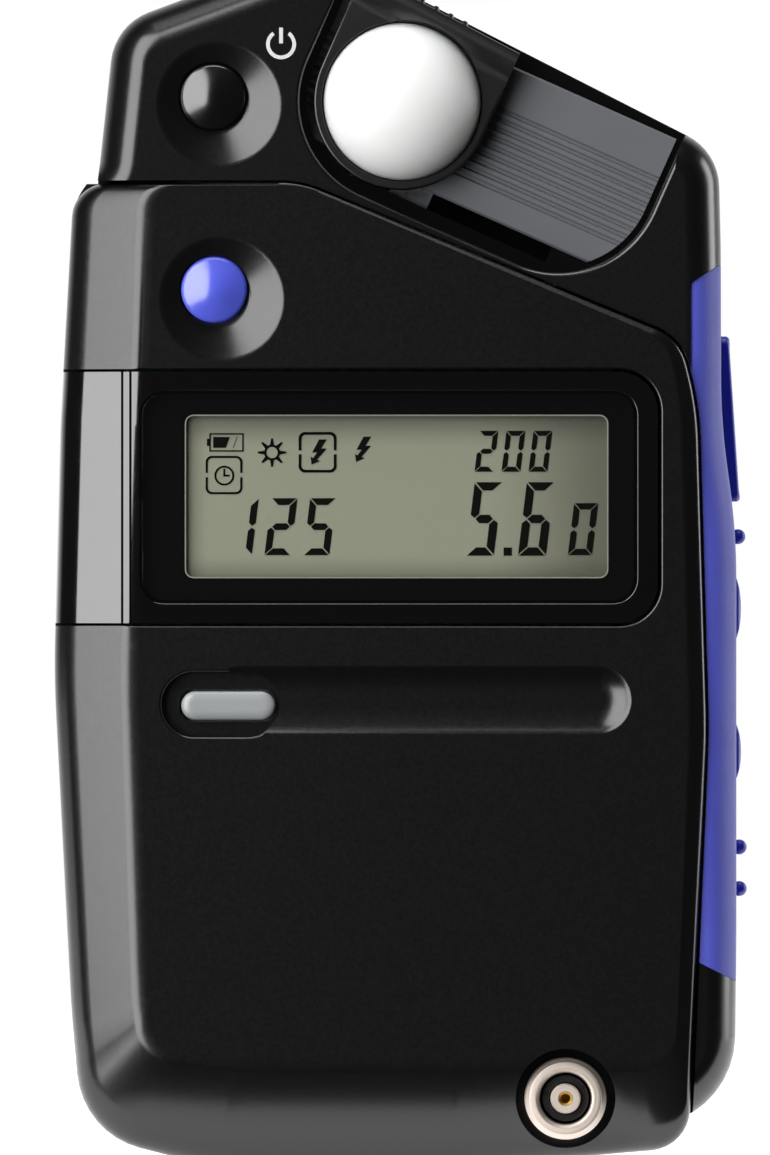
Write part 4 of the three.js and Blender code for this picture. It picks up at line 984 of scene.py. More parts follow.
def build_rear_cover():
    """The rear shell, with posts for the screws, a wall behind the grip and the door's opening"""
    seam = sizes("case").seam
    body = rings_piece("rear_cover_moulding", rear_rings(0, REAR_EDGE_Y))
    cavity = rings_piece("cavity", rear_rings(REAR_WALL, REAR_EDGE_Y - OVERRUN))
    screws = [node_centre(node) for node in SCREW_NODES]
    for centre in screws:
        cut(cavity, prism(circle(centre, 3.2 * MM, SCREW_STEPS), REAR_EDGE_Y, FAR))
    behind = prism(grip_outline(seam + REAR_WALL), GRIP_FRONT, GRIP_BACK + seam + REAR_WALL)
    core = grow(case_outline(REAR_OUTLINE_SHARES), -GRIP_THICKNESS - seam - REAR_WALL)
    cut(cavity, cut(behind, prism(core, -FARTHER, FARTHER)))
    cut(body, cavity, grip_room(GRIP_FIT), shoulder_notch())
    cut(body, cut(door_region(seam), rings_piece("core", rear_rings(REAR_WALL + seam, -FAR))))
    for node in SIDE_KEYS:
        cut(body, side_hole(node))
    y_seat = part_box(SCREW_NODES[0])[1].y - 1.45 * MM
    hole, head = 1.15 * MM, 2.2 * MM
    for centre in screws:
        cut(body, turned("cutter", centre, [
            (0, -FARTHER), (hole, -FARTHER), (hole, y_seat), (head, y_seat),
            (head, BACK_Y - 0.25 * MM), (2.4 * MM, BACK_Y - 0.05 * MM),
            (2.5 * MM, BACK_Y + OVERRUN), (0, BACK_Y + OVERRUN)], steps=SCREW_STEPS))
    join(body, cut(rear_shoulder(), grip_room(GRIP_FIT)))
    place_moulding(body, "case", "rear_cover")


def build_battery_door():
    """The door is the part of the rear shell that slides, with thumb ribs"""
    door = rings_piece("battery_door_moulding", rear_rings(0, REAR_EDGE_Y))
    cut(door, rings_piece("core", rear_rings(REAR_WALL, REAR_EDGE_Y - OVERRUN)))
    common(door, door_region(0))
    right = face_place(DOOR_RIGHT_SHARE, 0).x
    pitch, width, flare = 1.6 * MM, 0.7 * MM, 0.12 * MM
    for i in range(4):
        middle = Vector((right - (i + 2) * pitch, DOOR_MIDDLE_Z))
        outline = slot_outline(middle, width, DOOR_HALF, width / 2, steps=6)
        cut(door, sink("cutter", outline, [
            (0, BACK_Y - 0.4 * MM), (flare, BACK_Y - 0.05 * MM), (flare, BACK_Y + OVERRUN)]))
    soften(door, 0.15 * MM, angle=60)
    place_moulding(door, "door", "battery_door")


def build_screws():
    for node in SCREW_NODES:
        piece = smooth(soften(from_cad(node + "_head", node), 0.1 * MM, angle=50))
        place_piece(piece, "case", [node], "screw_black_steel")


# The soft grip and the keys

DOT_HEIGHT_SHARES = (0.5245, 0.2664, 0.2318)
DOT_RADIUS = 0.69 * MM
FLANGE_THICKNESS = 0.6 * MM


def side_at(z):
    """Where the case's right side lies at a height"""
    outline = case_outline(REAR_OUTLINE_SHARES)
    across = -1.0
    for i, point in enumerate(outline):
        after = outline[(i + 1) % len(outline)]
        if (point.y - z) * (after.y - z) <= 0 and point.y != after.y:
            share = (z - point.y) / (after.y - point.y)
            across = max(across, point.x + share * (after.x - point.x))
    return across


def build_grip():
    """The soft strip with rolled edges and holes for its keys, and three dots that a thumb feels"""
    back = [(-drawn * 1.2 * MM, GRIP_BACK - down * 2.2 * MM)
            for drawn, down in reversed(roll(2.0, 6))]
    body = rings_piece("side_grip_moulding",
                       grip_front_rings() + stack(case_outline(REAR_OUTLINE_SHARES), back))
    common(body, grip_room(0))
    cover = case_outline(COVER_OUTLINE_SHARES)
    cut(body, prism(grow(cover, sizes("case").seam), -FAR, PARTING_Y))
    for node in SIDE_KEYS:
        cut(body, side_hole(node))
    soften(body, 0.18 * MM, angle=50)
    place_piece(smooth(body), "case", ["side_grip"], "grip_elastomer")
    for i, share in enumerate(DOT_HEIGHT_SHARES):
        z = share * HEIGHT
        start_fresh()
        bpy.ops.mesh.primitive_uv_sphere_add(
            segments=32, ring_count=16, radius=DOT_RADIUS,
            location=(side_at(z) + 0.34 * MM, SIDE_KEY_Y, z))
        dot = bpy.context.object
        dot.name = f"side_grip_dot_{i + 1}"
        bpy.ops.object.transform_apply(location=True, rotation=True, scale=True)
        place_piece(smooth(dot), "case", [], "measuring_key_abs")


def side_cap(node, proud, edge, crown):
    """A side key's cap: it follows the case's side, with rolled edges and, on a step key, a
    crown"""
    low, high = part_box(node)
    cap_low, cap_high = cap_box(node)
    middle = (cap_low + cap_high) / 2
    size = cap_high - cap_low
    outline = slot_outline(Vector((middle.y, middle.z)), size.y, size.z, 0.9 * MM, steps=8)
    rings = [[Vector((low.x, p.x, p.y)) for p in outline]]
    rows = [(drawn * edge, down * edge) for drawn, down in reversed(roll(2.0, 6))]
    rows += [(edge + step * size.z, 0) for step in (0.1, 0.2, 0.3, 0.4)]
    for inset, drop in rows:
        # No ring closes to a point
        share_y, share_z = (max(0.02, 1 - 2 * inset / side) for side in (size.y, size.z))
        points = [Vector((middle.y + (p.x - middle.y) * share_y,
                          middle.z + (p.y - middle.z) * share_z)) for p in outline]
        rings.append([Vector((
            side_at(p.y) + proud - drop - crown * ((p.y - middle.z) / size.z * 2) ** 2, p.x, p.y))
            for p in points])
    cap = rings_piece(node + "_cap", rings)
    flange_high = Vector((low.x + 0.8 * MM, high.y, high.z))
    flange_low = low + Vector((0.001 * MM, 0, 0))
    return smooth(join(cap, block("flange", flange_low, flange_high)), 45)


def build_side_keys():
    long_key = ((0.83 * MM, 0.4 * MM, 0), "measuring_blue", "measuring_key_abs")
    step_key = ((0.5 * MM, 0.2 * MM, 0.45 * MM), "grip_blue", "grip_elastomer")
    for node, body in SIDE_KEYS.items():
        shape, slot, look = long_key if node == "measuring_button" else step_key
        place_piece(side_cap(node, *shape), body, [node], look)


def build_round_key(node, body, look):
    """A round cap with a softly pointed top, on a flange and a stem"""
    low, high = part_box(node)
    radius = sizes("keys").radius
    flange = (high.x - low.x) / 2
    tip, slope, edge, stem = 0.8 * MM, 0.53, 0.12 * MM, 1.5 * MM
    profile = [(r, low.y + math.sqrt(tip ** 2 + (slope * r) ** 2) - tip)
               for r in across_range(0, radius - edge, 16)]
    profile.append((radius, profile[-1][1] + 1.5 * edge))
    y_flange, y_stem = low.y + 2.9 * MM, low.y + 2.9 * MM + FLANGE_THICKNESS
    profile += [(radius, y_flange), (flange, y_flange), (flange, y_stem), (stem, y_stem),
                (stem, high.y), (0, high.y)]
    piece = smooth(turned(node + "_cap", node_centre(node), profile))
    place_piece(piece, body, [node], look)


def build_face_keys():
    build_round_key("power_button", "power_key", "power_key_polished")
    build_round_key("mode_button", "mode_key", "mode_key_polished")
    low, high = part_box("iso_key")
    rim, centre = 0.8 * MM, node_centre("iso_key")
    width, height = high.x - low.x - 2 * rim, high.z - low.z - 2 * rim
    rows = [(-drawn * 0.9 * MM, low.y + down * 0.45 * MM) for drawn, down in roll(2.0, 8)]
    rows.append((0, high.y - 0.001 * MM))
    cap = sink("iso_key_cap", slot_outline(centre, width, height, height / 2, steps=16), rows)
    flange = slot_outline(centre, width + 2 * rim, height + 2 * rim, height / 2 + rim, steps=16)
    join(cap, prism(flange, high.y - FLANGE_THICKNESS, high.y))
    place_piece(smooth(cap), "iso_key_body", ["iso_key"], "long_key_satin")


# The dome, its holder and the panel it slides over


def channel_sink(name, pairs, rows):
    """A body through an outline that is drawn in the channel's own frame"""
    return rings_piece(name, [at_depth(into_channel(grow(pairs, by)), y) for by, y in rows])


def build_dome():
    """A hollow dome that is a little flatter than half a ball"""
    low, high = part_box("dome")
    radius, rise, thick = (high.x - low.x) / 2, high.y - low.y, 2.6 * MM
    outer = [(radius * math.cos(a), high.y - rise * math.sin(a))
             for a in across_range(0, math.pi / 2, 24)]
    inner = [((radius - thick) * math.cos(a), high.y - (rise - thick) * math.sin(a))
             for a in reversed(across_range(0, math.pi / 2, 12))]
    dome = smooth(turned("dome_shell", node_centre("dome"), outer + inner), 50)
    place_piece(dome, "dome_slider", ["dome"], "dome_opal_acrylic")


def build_holder():
    """A ring with straight sides up to its upper edge, which rises forward and has grip bumps"""
    radius, top_left, top_right = 8.05 * MM, 9.4 * MM, 8.35 * MM
    y_plate, y_back, y_lip = -6.9 * MM, -4.65 * MM, -8.0 * MM
    arc = [Vector((radius * math.cos(a), radius * math.sin(a)))
           for a in across_range(math.pi, 2 * math.pi, 64)]
    outline = arc + [Vector((radius, top_right)), Vector((-radius, top_left))]
    edge, inside = 0.25 * MM, y_plate + 1 * MM
    plate = channel_sink(
        "dome_holder_moulding", outline, broken_edge(y_plate, edge) + [(0, y_back)])
    # The lip's section, by how far above the upper edge and how deep each point lies
    section = [(-3.4 * MM, inside), (-3.4 * MM, y_plate + 0.1 * MM),
               (-2.2 * MM, y_plate - 0.25 * MM), (-1 * MM, y_lip + 0.1 * MM)]
    section += broken_edge(y_lip, edge) + [(0, inside)]
    rings = []
    for x, top in ((-radius, top_left), (radius, top_right)):
        places = into_channel([Vector((x, top + up)) for up, _ in section])
        rings.append([Vector((p.x, y, p.y)) for p, (_, y) in zip(places, section)])
    join(plate, rings_piece("lip", rings))
    bump_radius = 0.36 * MM
    for i in range(6):
        x = 2.35 * MM - i * 1.47 * MM
        z = top_left + (x + radius) / (2 * radius) * (top_right - top_left) - 0.03 * MM
        # Each bump ends at another depth, so that no two end faces lie in one plane
        y_foot = y_back - (0.4 + 0.03 * i) * MM
        join(plate, turned("bump", into_channel([Vector((x, z))])[0], [
            (0, y_lip + 0.35 * MM), (0.6 * bump_radius, y_lip + 0.4 * MM),
            (bump_radius, y_lip + 0.6 * MM), (bump_radius, y_foot), (0, y_foot)], steps=18))
    foot = box_outline(Vector((-2, -7.7)) * MM, Vector((2, -6.8)) * MM)
    join(plate, channel_sink("foot", foot, [(0, y_back - 1 * MM), (0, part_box("dome_holder")[1].y)]))
    rim, seat = 7.45 * MM, 7.3 * MM
    cut(plate, turned("seat", spot("dome"), [
        (0, -12 * MM), (rim, -12 * MM), (rim, y_plate - 0.15 * MM), (seat, y_plate + 0.1 * MM),
        (seat, inside), (0, inside)]))
    cut(plate, prism(circle(spot("dome"), 5.6 * MM), -12 * MM, 0))
    place_piece(smooth(plate), "dome_slider", ["dome_holder"],
                       "holder_abs_fine_textured")


def build_channel_floor():
    """A panel across the channel's floor, with nine grooves along it"""
    low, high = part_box("channel_floor")
    sheet = prism(trough_outline(-0.6 * MM), low.y, high.y)
    sheet.name = "channel_floor_panel"
    left, right, edge = -30 * MM, 60 * MM, 0.2 * MM
    band = box_outline(Vector((left, -6.5 * MM)), Vector((right, 7.1 * MM)))
    common(sheet, channel_sink("band", band, [
        (-edge, low.y - 0.01 * MM), (0, low.y + edge), (0, OVERRUN)]))
    cut(sheet, prism(circle(spot("dome"), 4.4 * MM), -12 * MM, OVERRUN))
    top, pitch, half, depth, flare = 3 * MM, 0.85 * MM, 0.175 * MM, 0.25 * MM, 0.12 * MM
    for i in range(9):
        z = top - i * pitch
        groove = box_outline(Vector((left, z - half)), Vector((right, z + half)))
        cut(sheet, channel_sink("groove", groove, [
            (flare, low.y - OVERRUN), (flare, low.y - 0.01 * MM), (0, low.y + 0.1 * MM),
            (-0.05 * MM, low.y + depth)]))
    place_piece(smooth(sheet), "case", ["channel_floor"],
                       "channel_panel_satin")


# Flash cord terminal


def terminal_piece(name, profile, nodes, look):
    piece = smooth(turned(name, node_centre("sync_ring"), profile), 25)
    place_piece(piece, "case", nodes, look)


def build_terminal():
    """A stepped ring, a sleeve that insulates it, and a contact whose bore is lined with gold"""
    low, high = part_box("sync_ring")
    ring, edge = (high.x - low.x) / 2, 0.08 * MM
    land, top, step = ring - 1.1 * MM, low.y, low.y + 0.35 * MM
    terminal_piece("sync_ring_turned", [
        (TERMINAL_BORE, low.y + 0.9 * MM), (2.45 * MM, step + 0.1 * MM), (2.65 * MM, step),
        (land - edge, step), (land, step - edge), (land, top + edge), (land + edge, top),
        (ring - 0.6 * MM, top), (ring - 0.45 * MM, top + 0.03 * MM), (ring - 0.08 * MM, step),
        (ring, step + 0.12 * MM), (ring, high.y), (TERMINAL_BORE, high.y)],
        ["sync_ring"], "terminal_nickel")
    low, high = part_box("sync_insulator")
    sleeve, fit = (high.x - low.x) / 2, 1.495 * MM
    terminal_piece("sync_insulator_sleeve", [
        (fit, low.y), (sleeve - edge, low.y), (sleeve, low.y + edge), (sleeve, high.y),
        (fit, high.y)], ["sync_insulator"], "terminal_insulator")
    low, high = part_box("sync_contact")
    barrel, hole = (high.x - low.x) / 2, 0.43 * MM
    lining = hole + 0.2 * MM
    terminal_piece("sync_contact_barrel", [
        (lining, low.y + 0.06 * MM), (lining + 0.05 * MM, low.y), (barrel - 0.15 * MM, low.y),
        (barrel, low.y + 0.15 * MM), (barrel, high.y), (lining, high.y)],
        ["sync_contact"], "terminal_nickel")
    terminal_piece("sync_contact_lining", [
        (hole, low.y + 0.25 * MM), (lining, low.y + 0.08 * MM), (lining, high.y), (0, high.y),
        (0, TERMINAL_FLOOR), (hole, TERMINAL_FLOOR)], [], "terminal_gold")


# Display


def node_outline(node, radius, by=0):
    low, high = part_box(node)
    return grow(slot_outline(node_centre(node), high.x - low.x, high.z - low.z, radius), by)


WINDOW_CORNER = 2 * MM
# How far the display reaches behind the mask's opening on each side
MASK_COVER = 1.6 * MM


def build_bezel():
    """The polished band about the display, cut from the main face's own shape"""
    seam, wall = sizes("case").seam, 2.6 * MM
    body = cover_body("display_bezel_moulding")
    common(body, prism(band_outline(), -FAR, FACE_Y + 6.1 * MM))
    cut(body, common(cover_cavity(wall), through(grow(band_outline(), OVERRUN))))
    window = node_outline("display_window", WINDOW_CORNER, seam)
    cut(body, flared(window, FACE_Y, FACE_Y + 1.55 * MM, 0.12 * MM))
    cut(body, prism(node_outline("lcd_panel", 0.8 * MM, -0.6 * MM), FACE_Y, FAR))
    cut(body, prism(node_outline("lcd_frame", 1.45 * MM, seam), FACE_Y + wall, FAR))
    # Two fine lines run up the band beside the window
    for x, deep in ((-25.4 * MM, 1.15 * MM), (-24.65 * MM, 0.75 * MM)):
        line = slot_outline(Vector((x, 61 * MM)), 0.22 * MM, 30 * MM, 0.1 * MM, steps=2)
        cut(body, prism(line, -FAR, FACE_Y + deep))
    place_piece(smooth(body), "case", ["display_bezel"], "display_surround_polished")


def build_window():
    """The pane, and behind it the printed mask, with a light ring round its opening whose colour is a
    painted highlight of the opening's edge
    """
    low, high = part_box("display_window")
    outline = node_outline("display_window", WINDOW_CORNER)
    pane = sink("display_window_pane", outline, broken_edge(low.y, 0.15 * MM) + [(0, high.y)])
    place_piece(smooth(pane), "case", ["display_window"], "pane_clear_acrylic")
    low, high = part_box("window_mask")
    mask = prism(outline, low.y, high.y)
    mask.name = "window_mask_print"
    cut(mask, through(view_outline(0)))
    place_piece(smooth(mask), "case", ["window_mask"], "mask_print")
    # A light-grey ring just inside the mask's opening: its colour is a painted highlight of the
    # opening's edge
    rim = prism(view_outline(0.03 * MM), low.y + 0.01 * MM, high.y)
    rim.name = "window_mask_rim"
    cut(rim, through(view_outline(-0.12 * MM)))
    place_piece(rim, "case", [], "mask_edge_ink")


def view_outline(by):
    """The clear opening in the mask"""
    return node_outline("lcd_panel", 0.8 * MM + MASK_COVER, by - MASK_COVER)


# What the display shows: seven-bar numbers and plain symbols, as thin raised shapes

SEVEN_BARS = {"0": "abcdef", "1": "bc", "2": "abged", "5": "afgcd", "6": "afgedc"}
LEAN = math.tan(math.radians(7))


def at(across, down):
    """A place in the display, by millimetres right of and below its clear opening's upper left
    corner"""
    low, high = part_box("lcd_panel")
    return Vector((low.x + MASK_COVER + across * MM, high.z - MASK_COVER - down * MM))


def digit_bars(sign, corner, width, height, thick):
    """The outlines of a digit's mitred bars, leaning to the right"""
    gap, middle, half = 0.12 * thick, height / 2, thick / 2
    near, far = thick + gap, width - thick - gap
    top = [(gap, height), (width - gap, height), (far, height - thick), (near, height - thick)]
    left = [(0, height - gap), (thick, height - near), (thick, middle + half + gap),
            (half, middle + gap), (0, middle + half)]
    across = [(half + gap, middle), (near, middle + half), (far, middle + half),
              (width - half - gap, middle), (far, middle - half), (near, middle - half)]
    bars = {
        "a": top, "d": [(x, height - z) for x, z in top], "f": left,
        "b": [(width - x, z) for x, z in left], "e": [(x, height - z) for x, z in left],
        "c": [(width - x, height - z) for x, z in left], "g": across,
    }
    return [[corner + Vector((x + z * LEAN, z)) for x, z in bars[name]]
            for name in SEVEN_BARS[sign]]


def box_outline(low, high):
    return [Vector((x, z)) for x, z in ((low.x, low.y), (high.x, low.y), (high.x, high.y),
                                        (low.x, high.y))]


def stroke(points, thick, closed=False):
    """The outlines of the bars of a line drawn through points"""
    shapes = []
    for start, end in zip(points, points[1:] + (points[:1] if closed else [])):
        reach = (end - start).normalized() * thick / 2
        shapes.append(taper(start - reach, end + reach, thick, thick))
    return shapes


def battery_sign():
    """A battery with its charge, which leans like the numbers"""
    low, high = at(2.3, 3.3), at(5.3, 1.75)
    shell = stroke(box_outline(low, high), 0.13 * MM, closed=True)
    inset = Vector((0.28 * MM, 0.28 * MM))
    low, high = low + inset, high - inset
    width, lean = high.x - low.x, 0.35 * MM
    charge = []
    for start, stop in ((0, 0.62), (0.74, 0.9)):
        left, right = low.x + start * width, low.x + stop * width
        shift = 0 if start == 0 else lean
        charge.append([Vector((x, z)) for x, z in (
            (left, low.y), (right - lean, low.y), (right, high.y), (left + shift, high.y))])
    nub = box_outline(at(2.02, 2.85), at(2.3, 2.2))
    return shell + charge + [nub]


def sun_sign():
    """A sun: a ring with eight rays"""
    centre = at(7.95, 3.45)
    shapes = stroke(circle(centre, 0.62 * MM, 20), 0.2 * MM, closed=True)
    for k in range(8):
        way = Vector((math.cos(k * math.pi / 4), math.sin(k * math.pi / 4)))
        shapes.append(taper(
            centre + way * 0.72 * MM, centre + way * 1.3 * MM, 0.36 * MM, 0.16 * MM))
    return shapes


def taper(start, end, wide, narrow):
    """The outline of a bar that narrows towards its end"""
    along = (end - start).normalized()
    side = Vector((-along.y, along.x)) / 2
    return [start - side * wide, end - side * narrow, end + side * narrow, start + side * wide]


def bolt(middle, height):
    """A flash: a bent arrow that points down"""
    rows = ((0.04, 0.5), (0.34, 0.5), (0.12, 0.14), (0.34, 0.14), (-0.04, -0.3), (0.08, -0.36),
            (-0.26, -0.5), (-0.3, -0.18), (-0.2, -0.24), (-0.04, -0.02), (-0.24, -0.02))
    return [middle + Vector((x, z)) * height for x, z in rows]


def broken_frame(low, high, thick, side_gap):
    """A rounded frame that is broken in the middle of each side"""
    centre, size = (low + high) / 2, high - low
    outline = slot_outline(centre, size.x, size.y, 0.5 * MM, steps=4)
    halves = [[p for p in outline if p.y > centre.y], [p for p in outline if p.y <= centre.y]]
    shapes = []
    for half, way in zip(halves, (1, -1)):
        half.sort(key=lambda p: math.atan2(way * (p.y - centre.y), p.x - centre.x))
        foot = centre.y + way * side_gap / 2
        ends = [Vector((half[0].x, foot)), Vector((half[-1].x, foot))]
        shapes += stroke([ends[0]] + half + [ends[1]], thick)
    return shapes


def clock_sign():
    """A small clock: a ring with two hands"""
    centre = at(3.6, 5.55)
    ring = stroke(circle(centre, 0.82 * MM, 20), 0.17 * MM, closed=True)
    hands = [centre + Vector((0, 0.55 * MM)), centre, centre + Vector((0.4 * MM, 0))]
    return ring + stroke(hands, 0.17 * MM)


# Numbers in the display, in millimetres: left and bottom of the first digit, a digit's width and
# height, thickness of its bars, and pitch
NUMBERS = (
    ("125", 3.73, 12.8, 2.37, 5.19, 0.62, 3.53), ("200", 26.4, 5.2, 1.72, 3.73, 0.46, 2.46),
    ("5", 25.6, 12.85, 2.55, 6.7, 0.76, 0), ("6", 30.35, 12.85, 2.55, 6.7, 0.76, 0),
    ("0", 34.9, 12.8, 2.2, 4.74, 0.58, 0),
)


def display_shapes():
    """All outlines of what the display shows"""
    shapes = [box_outline(at(29.05, 12.85), at(29.8, 12.1))]
    for text, left, bottom, width, height, thick, pitch in NUMBERS:
        for i, sign in enumerate(text):
            corner = at(left + i * pitch, bottom)
            shapes += digit_bars(sign, corner, width * MM, height * MM, thick * MM)
    shapes += broken_frame(at(2.0, 7.15), at(5.15, 3.85), 0.2 * MM, 0.6 * MM)
    shapes += broken_frame(at(10.5, 5.15), at(13.7, 1.7), 0.25 * MM, 0.6 * MM)
    shapes += [bolt(at(12.15, 3.4), 2.3 * MM), bolt(at(16.2, 3.15), 2.3 * MM)]
    return shapes + battery_sign() + sun_sign() + clock_sign()


def build_display():
    """The glass of the display, and on it one thin piece that holds all the dark shapes"""
    low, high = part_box("lcd_panel")
    y_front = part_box("window_mask")[1].y + 0.15 * MM
    inset = -0.65 * MM
    glass = sink("lcd_glass", node_outline("lcd_panel", 1.2 * MM), [
        (inset, y_front), (inset, low.y), (0, low.y), (0, high.y)])
    place_piece(smooth(glass), "case", ["lcd_panel"], "display_reflector")
    thin = 0.05 * MM
    pieces = [sink("segment", shape, [(0, y_front - thin), (0, y_front + thin)])
              for shape in display_shapes()]
    start_fresh()
    for piece in pieces:
        piece.select_set(True)
    bpy.context.view_layer.objects.active = pieces[0]
    bpy.ops.object.join()
    marks = bpy.context.object
    marks.name = "lcd_segments"
    place_piece(marks, "case", [], "segment_ink")


def build_power_symbol():
    """The usual power sign, printed on the head: a broken ring with a bar"""
    centre = Vector((-10.93, 102.55)) * MM
    radius, thick = 1.2 * MM, 0.34 * MM
    arc = [centre + radius * Vector((math.sin(a), -math.cos(a)))
           for a in across_range(math.radians(-145), math.radians(145), 40)]
    arc_shape = [p + (p - centre).normalized() * thick / 2 for p in arc]
    arc_shape += [p - (p - centre).normalized() * thick / 2 for p in reversed(arc)]
    bar_shape = stroke([centre + Vector((0, 0.25 * MM)), centre + Vector((0, 1.35 * MM))], thick)[0]
    thin = 0.03 * MM
    pieces = [sink("mark", shape, [(0, HEAD_Y - 0.4 * thin), (0, HEAD_Y + thin)])
              for shape in (arc_shape, bar_shape)]
    sign = join(pieces[0], pieces[1])
    sign.name = "power_sign"
    place_piece(sign, "case", [], "mark_ink")


# What is inside keeps its CAD shape and gets its material

INSIDE = {
    "board_green_resist": ["main_board", "side_board"],
    "chip_epoxy": ["processor_chip", "receptor_housing"],
    "frame_grey_abs": ["lcd_frame"],
    "connector_rubber": ["zebra_strip"],
    "lens_clear_acrylic": ["receptor_lens"],
    "display_reflector": ["photodiode"],
    "pressed_steel": [
        "slider_retainer", "detent_spring", "battery_spring", "power_switch", "mode_switch",
        "iso_switch", "measuring_switch", "up_switch", "down_switch", "battery_contact"],
    "cell_printed_wrap": ["battery_cell"],
}


def dress_inside():
    for look, nodes in INSIDE.items():
        for node in nodes:
            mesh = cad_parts[node].data
            mesh.materials.clear()
            mesh.materials.append(finish(look))


# Camera, lamps and floor


# Softboxes: place, width, height and power. The left one lights the face, the others its edges.
LAMPS = {
    "left_softbox": ((-0.525, -0.604, 0.25), 0.61, 1.2, 12.5),
    "right_softbox": ((0.75, 0.27, 0.1), 0.3, 0.9, 4),
    "top_softbox": ((0, -0.15, 0.8), 0.5, 0.4, 3),
}
# How bright the surround is in front of the meter, and where it starts and ends to brighten towards
# the back, by the Y of the direction in which it lies
DIM_LIGHT, DIM_TO, WHITE_FROM = 0.03, 0.45, 0.95
PAPER_GLOW = 0.8
PAPER_SIZE = 1.6
# The meter stands at the paper's front edge, so that its face doesn't mirror the paper
PAPER_MIDDLE_Y = 0.786
SENSOR_HEIGHT = 36


def add_lamp(name, target):
    """A white softbox that is turned to a place, and that the camera doesn't see"""
    place, width, height, power = LAMPS[name]
    start_fresh()
    bpy.ops.object.light_add(type="AREA", location=place)
    lamp = bpy.context.object
    lamp.name = name
    lamp.data.shape = "RECTANGLE"
    lamp.data.size, lamp.data.size_y = width, height
    lamp.data.energy = power
    lamp.visible_camera = False
    lamp.rotation_euler = (target - lamp.location).to_track_quat("-Z", "Y").to_euler()


def seen_on(tree, *rays):
    """1 where light's way is of one of the named kinds, and else 0"""
    path = add_node(tree, "ShaderNodeLightPath")
    seen = 0.0
    for ray in rays:
        seen = add_node(tree, "ShaderNodeMath", {"operation": "MAXIMUM"}, at0=path.outputs[ray],
                        at1=seen).outputs[0]
    return seen


def set_world():
    """A surround that is white to the camera and through the panes. As light, and in reflections,
    it is dim in front of the meter and white behind it."""
    world = bpy.data.worlds.new("studio")
    bpy.context.scene.world = world
    world.use_nodes = True
    tree = world.node_tree
    tree.nodes.clear()
    way = add_node(tree, "ShaderNodeSeparateXYZ",
                   Vector=add_node(tree, "ShaderNodeTexCoord").outputs["Generated"])
    dim = add_node(tree, "ShaderNodeMapRange", Value=way.outputs["Y"], From_Min=DIM_TO,
                   From_Max=WHITE_FROM, To_Min=DIM_LIGHT, To_Max=1.0)
    seen = seen_on(tree, "Is Camera Ray", "Is Transmission Ray")
    strength = add_node(tree, "ShaderNodeMix", at0=seen, at2=dim.outputs["Result"], at3=1.0)
    background = add_node(tree, "ShaderNodeBackground", Color=linear("ffffff"),
                          Strength=strength.outputs[0])
    add_node(tree, "ShaderNodeOutputWorld", Surface=background.outputs[0])


def white_paper():
    """The floor's paper: it glows where it is looked at, so that of the meter only a shadow shows
    on it"""
    name = "white_background_paper"
    tree, _ = new_finish(name, Base_Color=linear("f3f3f3"), Roughness=0.9)
    seen = seen_on(tree, "Is Glossy Ray", "Is Transmission Ray", "Is Camera Ray")
    strength = add_node(tree, "ShaderNodeMath", {"operation": "MULTIPLY"}, at0=seen, at1=PAPER_GLOW)
    glow = add_node(tree, "ShaderNodeEmission", Color=linear("ffffff"),
                    Strength=strength.outputs[0])
    both = add_node(tree, "ShaderNodeAddShader", at0=tree.nodes["Principled BSDF"].outputs[0],
                    at1=glow.outputs[0])
    tree.links.new(both.outputs[0], tree.nodes["Material Output"].inputs["Surface"])
    return bpy.data.materials[name]


def build_stage():
    """The surround, the paper, the softboxes and a distant camera level with the meter's middle"""
    stage = sizes("stage")
    set_world()
    start_fresh()
    bpy.ops.mesh.primitive_plane_add(size=PAPER_SIZE, location=(0, PAPER_MIDDLE_Y, 0))
    floor = bpy.context.object
    floor.name = "floor"
    floor.data.materials.append(white_paper())
    for name in LAMPS:
        add_lamp(name, Vector((stage.centre_x, 0, stage.centre_z)))
    start_fresh()
    bpy.ops.object.camera_add(
        location=(stage.centre_x, FACE_Y - stage.distance, stage.centre_z),
        rotation=(math.pi / 2, 0, 0))
    camera = bpy.context.object
    camera.data.sensor_fit = "VERTICAL"
    camera.data.sensor_height = SENSOR_HEIGHT
    camera.data.lens = SENSOR_HEIGHT * stage.distance / stage.frame_height
    camera.data.clip_start, camera.data.clip_end = 0.05, 20
    bpy.context.scene.camera = camera
    bpy.context.scene.view_settings.view_transform = "Standard"


# Operators: one for each piece or group of like pieces, and one for the stage


class METER_OT_front_cover(bpy.types.Operator):
    """Models the main face's moulding"""

    bl_idname = "meter.front_cover"
    bl_label = "Front cover"

    def execute(self, context):
        build_front_cover()
        return {"FINISHED"}


class METER_OT_head_cover(bpy.types.Operator):
    """Models the head with the dome's channel, and the power sign on it"""

    bl_idname = "meter.head_cover"
    bl_label = "Head cover"

    def execute(self, context):
        build_head_cover()
        build_power_symbol()
        return {"FINISHED"}


class METER_OT_rear_cover(bpy.types.Operator):
    """Models the rear shell"""

    bl_idname = "meter.rear_cover"
    bl_label = "Rear cover"

    def execute(self, context):
        build_rear_cover()
        return {"FINISHED"}


class METER_OT_battery_door(bpy.types.Operator):
    """Models the battery door with its thumb ribs"""

    bl_idname = "meter.battery_door"
    bl_label = "Battery door"

    def execute(self, context):
        build_battery_door()
        return {"FINISHED"}


class METER_OT_screws(bpy.types.Operator):
    """Rounds the edges of the four case screws"""

    bl_idname = "meter.screws"
    bl_label = "Case screws"

    def execute(self, context):
        build_screws()
        return {"FINISHED"}


class METER_OT_grip(bpy.types.Operator):
    """Models the soft strip on the right side with its raised dots"""

    bl_idname = "meter.grip"
    bl_label = "Side grip"

    def execute(self, context):
        build_grip()
        return {"FINISHED"}


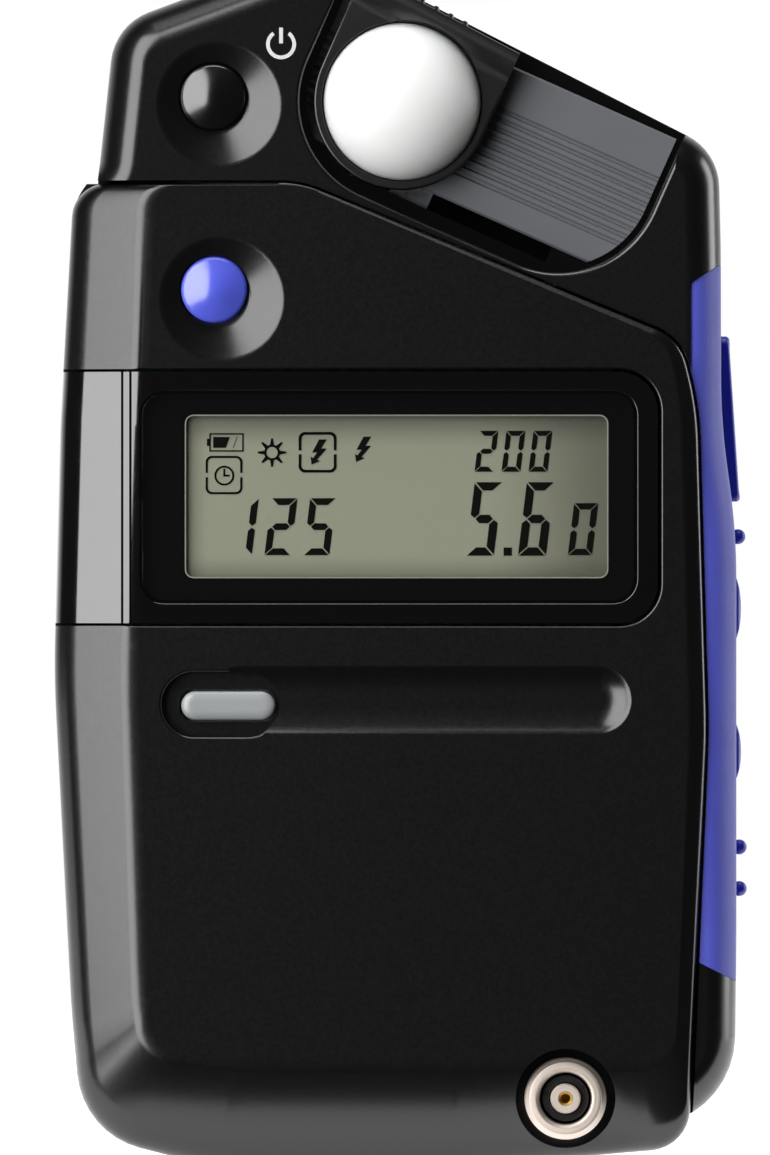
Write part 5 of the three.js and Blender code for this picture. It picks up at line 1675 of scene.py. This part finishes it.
class METER_OT_keys(bpy.types.Operator):
    """Models the keys on the face and on the side"""

    bl_idname = "meter.keys"
    bl_label = "Keys"

    def execute(self, context):
        build_face_keys()
        build_side_keys()
        return {"FINISHED"}


class METER_OT_dome(bpy.types.Operator):
    """Models the light dome, its holder and the grooved panel it slides over"""

    bl_idname = "meter.dome"
    bl_label = "Dome and channel"

    def execute(self, context):
        build_dome()
        build_holder()
        build_channel_floor()
        return {"FINISHED"}


class METER_OT_display(bpy.types.Operator):
    """Models the display's surround, pane, mask and glass, and what the glass shows"""

    bl_idname = "meter.display"
    bl_label = "Display"

    def execute(self, context):
        build_bezel()
        build_window()
        build_display()
        return {"FINISHED"}


class METER_OT_terminal(bpy.types.Operator):
    """Models the flash cord terminal"""

    bl_idname = "meter.terminal"
    bl_label = "Flash cord terminal"

    def execute(self, context):
        build_terminal()
        return {"FINISHED"}


class METER_OT_inside(bpy.types.Operator):
    """Gives the boards, switches, springs and cell their materials"""

    bl_idname = "meter.inside"
    bl_label = "Inside"

    def execute(self, context):
        dress_inside()
        return {"FINISHED"}


class METER_OT_stage(bpy.types.Operator):
    """Sets the camera, the lamps and the floor"""

    bl_idname = "meter.stage"
    bl_label = "Stage"

    def execute(self, context):
        build_stage()
        return {"FINISHED"}


class METER_PT_builder(bpy.types.Panel):
    """Buttons for building the meter, and its settings"""

    bl_idname = "METER_PT_builder"
    bl_label = "Flash meter"
    bl_space_type = "VIEW_3D"
    bl_region_type = "UI"
    bl_category = "Flash meter"

    def draw(self, context):
        for operator in OPERATORS:
            self.layout.operator(operator.bl_idname)
        for name, group in GROUPS.items():
            box = self.layout.box()
            box.label(text=name.title())
            for prop in group.__annotations__:
                box.prop(sizes(name), prop)


GROUPS = {
    "case": CaseSizes, "channel": ChannelSizes, "keys": KeySizes, "colours": FinishColours,
    "stage": StageSettings,
}
OPERATORS = [
    METER_OT_front_cover, METER_OT_head_cover, METER_OT_rear_cover, METER_OT_battery_door,
    METER_OT_screws, METER_OT_grip, METER_OT_keys, METER_OT_dome, METER_OT_display,
    METER_OT_terminal, METER_OT_inside, METER_OT_stage,
]


def register():
    for name, group in GROUPS.items():
        bpy.utils.register_class(group)
        setattr(bpy.types.Scene, "meter_" + name, bpy.props.PointerProperty(type=group))
    for operator in OPERATORS:
        bpy.utils.register_class(operator)
    bpy.utils.register_class(METER_PT_builder)


def unregister():
    bpy.utils.unregister_class(METER_PT_builder)
    for operator in reversed(OPERATORS):
        bpy.utils.unregister_class(operator)
    for name, group in GROUPS.items():
        delattr(bpy.types.Scene, "meter_" + name)
        bpy.utils.unregister_class(group)


def main():
    register()
    for operator in OPERATORS:
        group, name = operator.bl_idname.split(".")
        getattr(getattr(bpy.ops, group), name)()


if __name__ == "__main__":
    main()
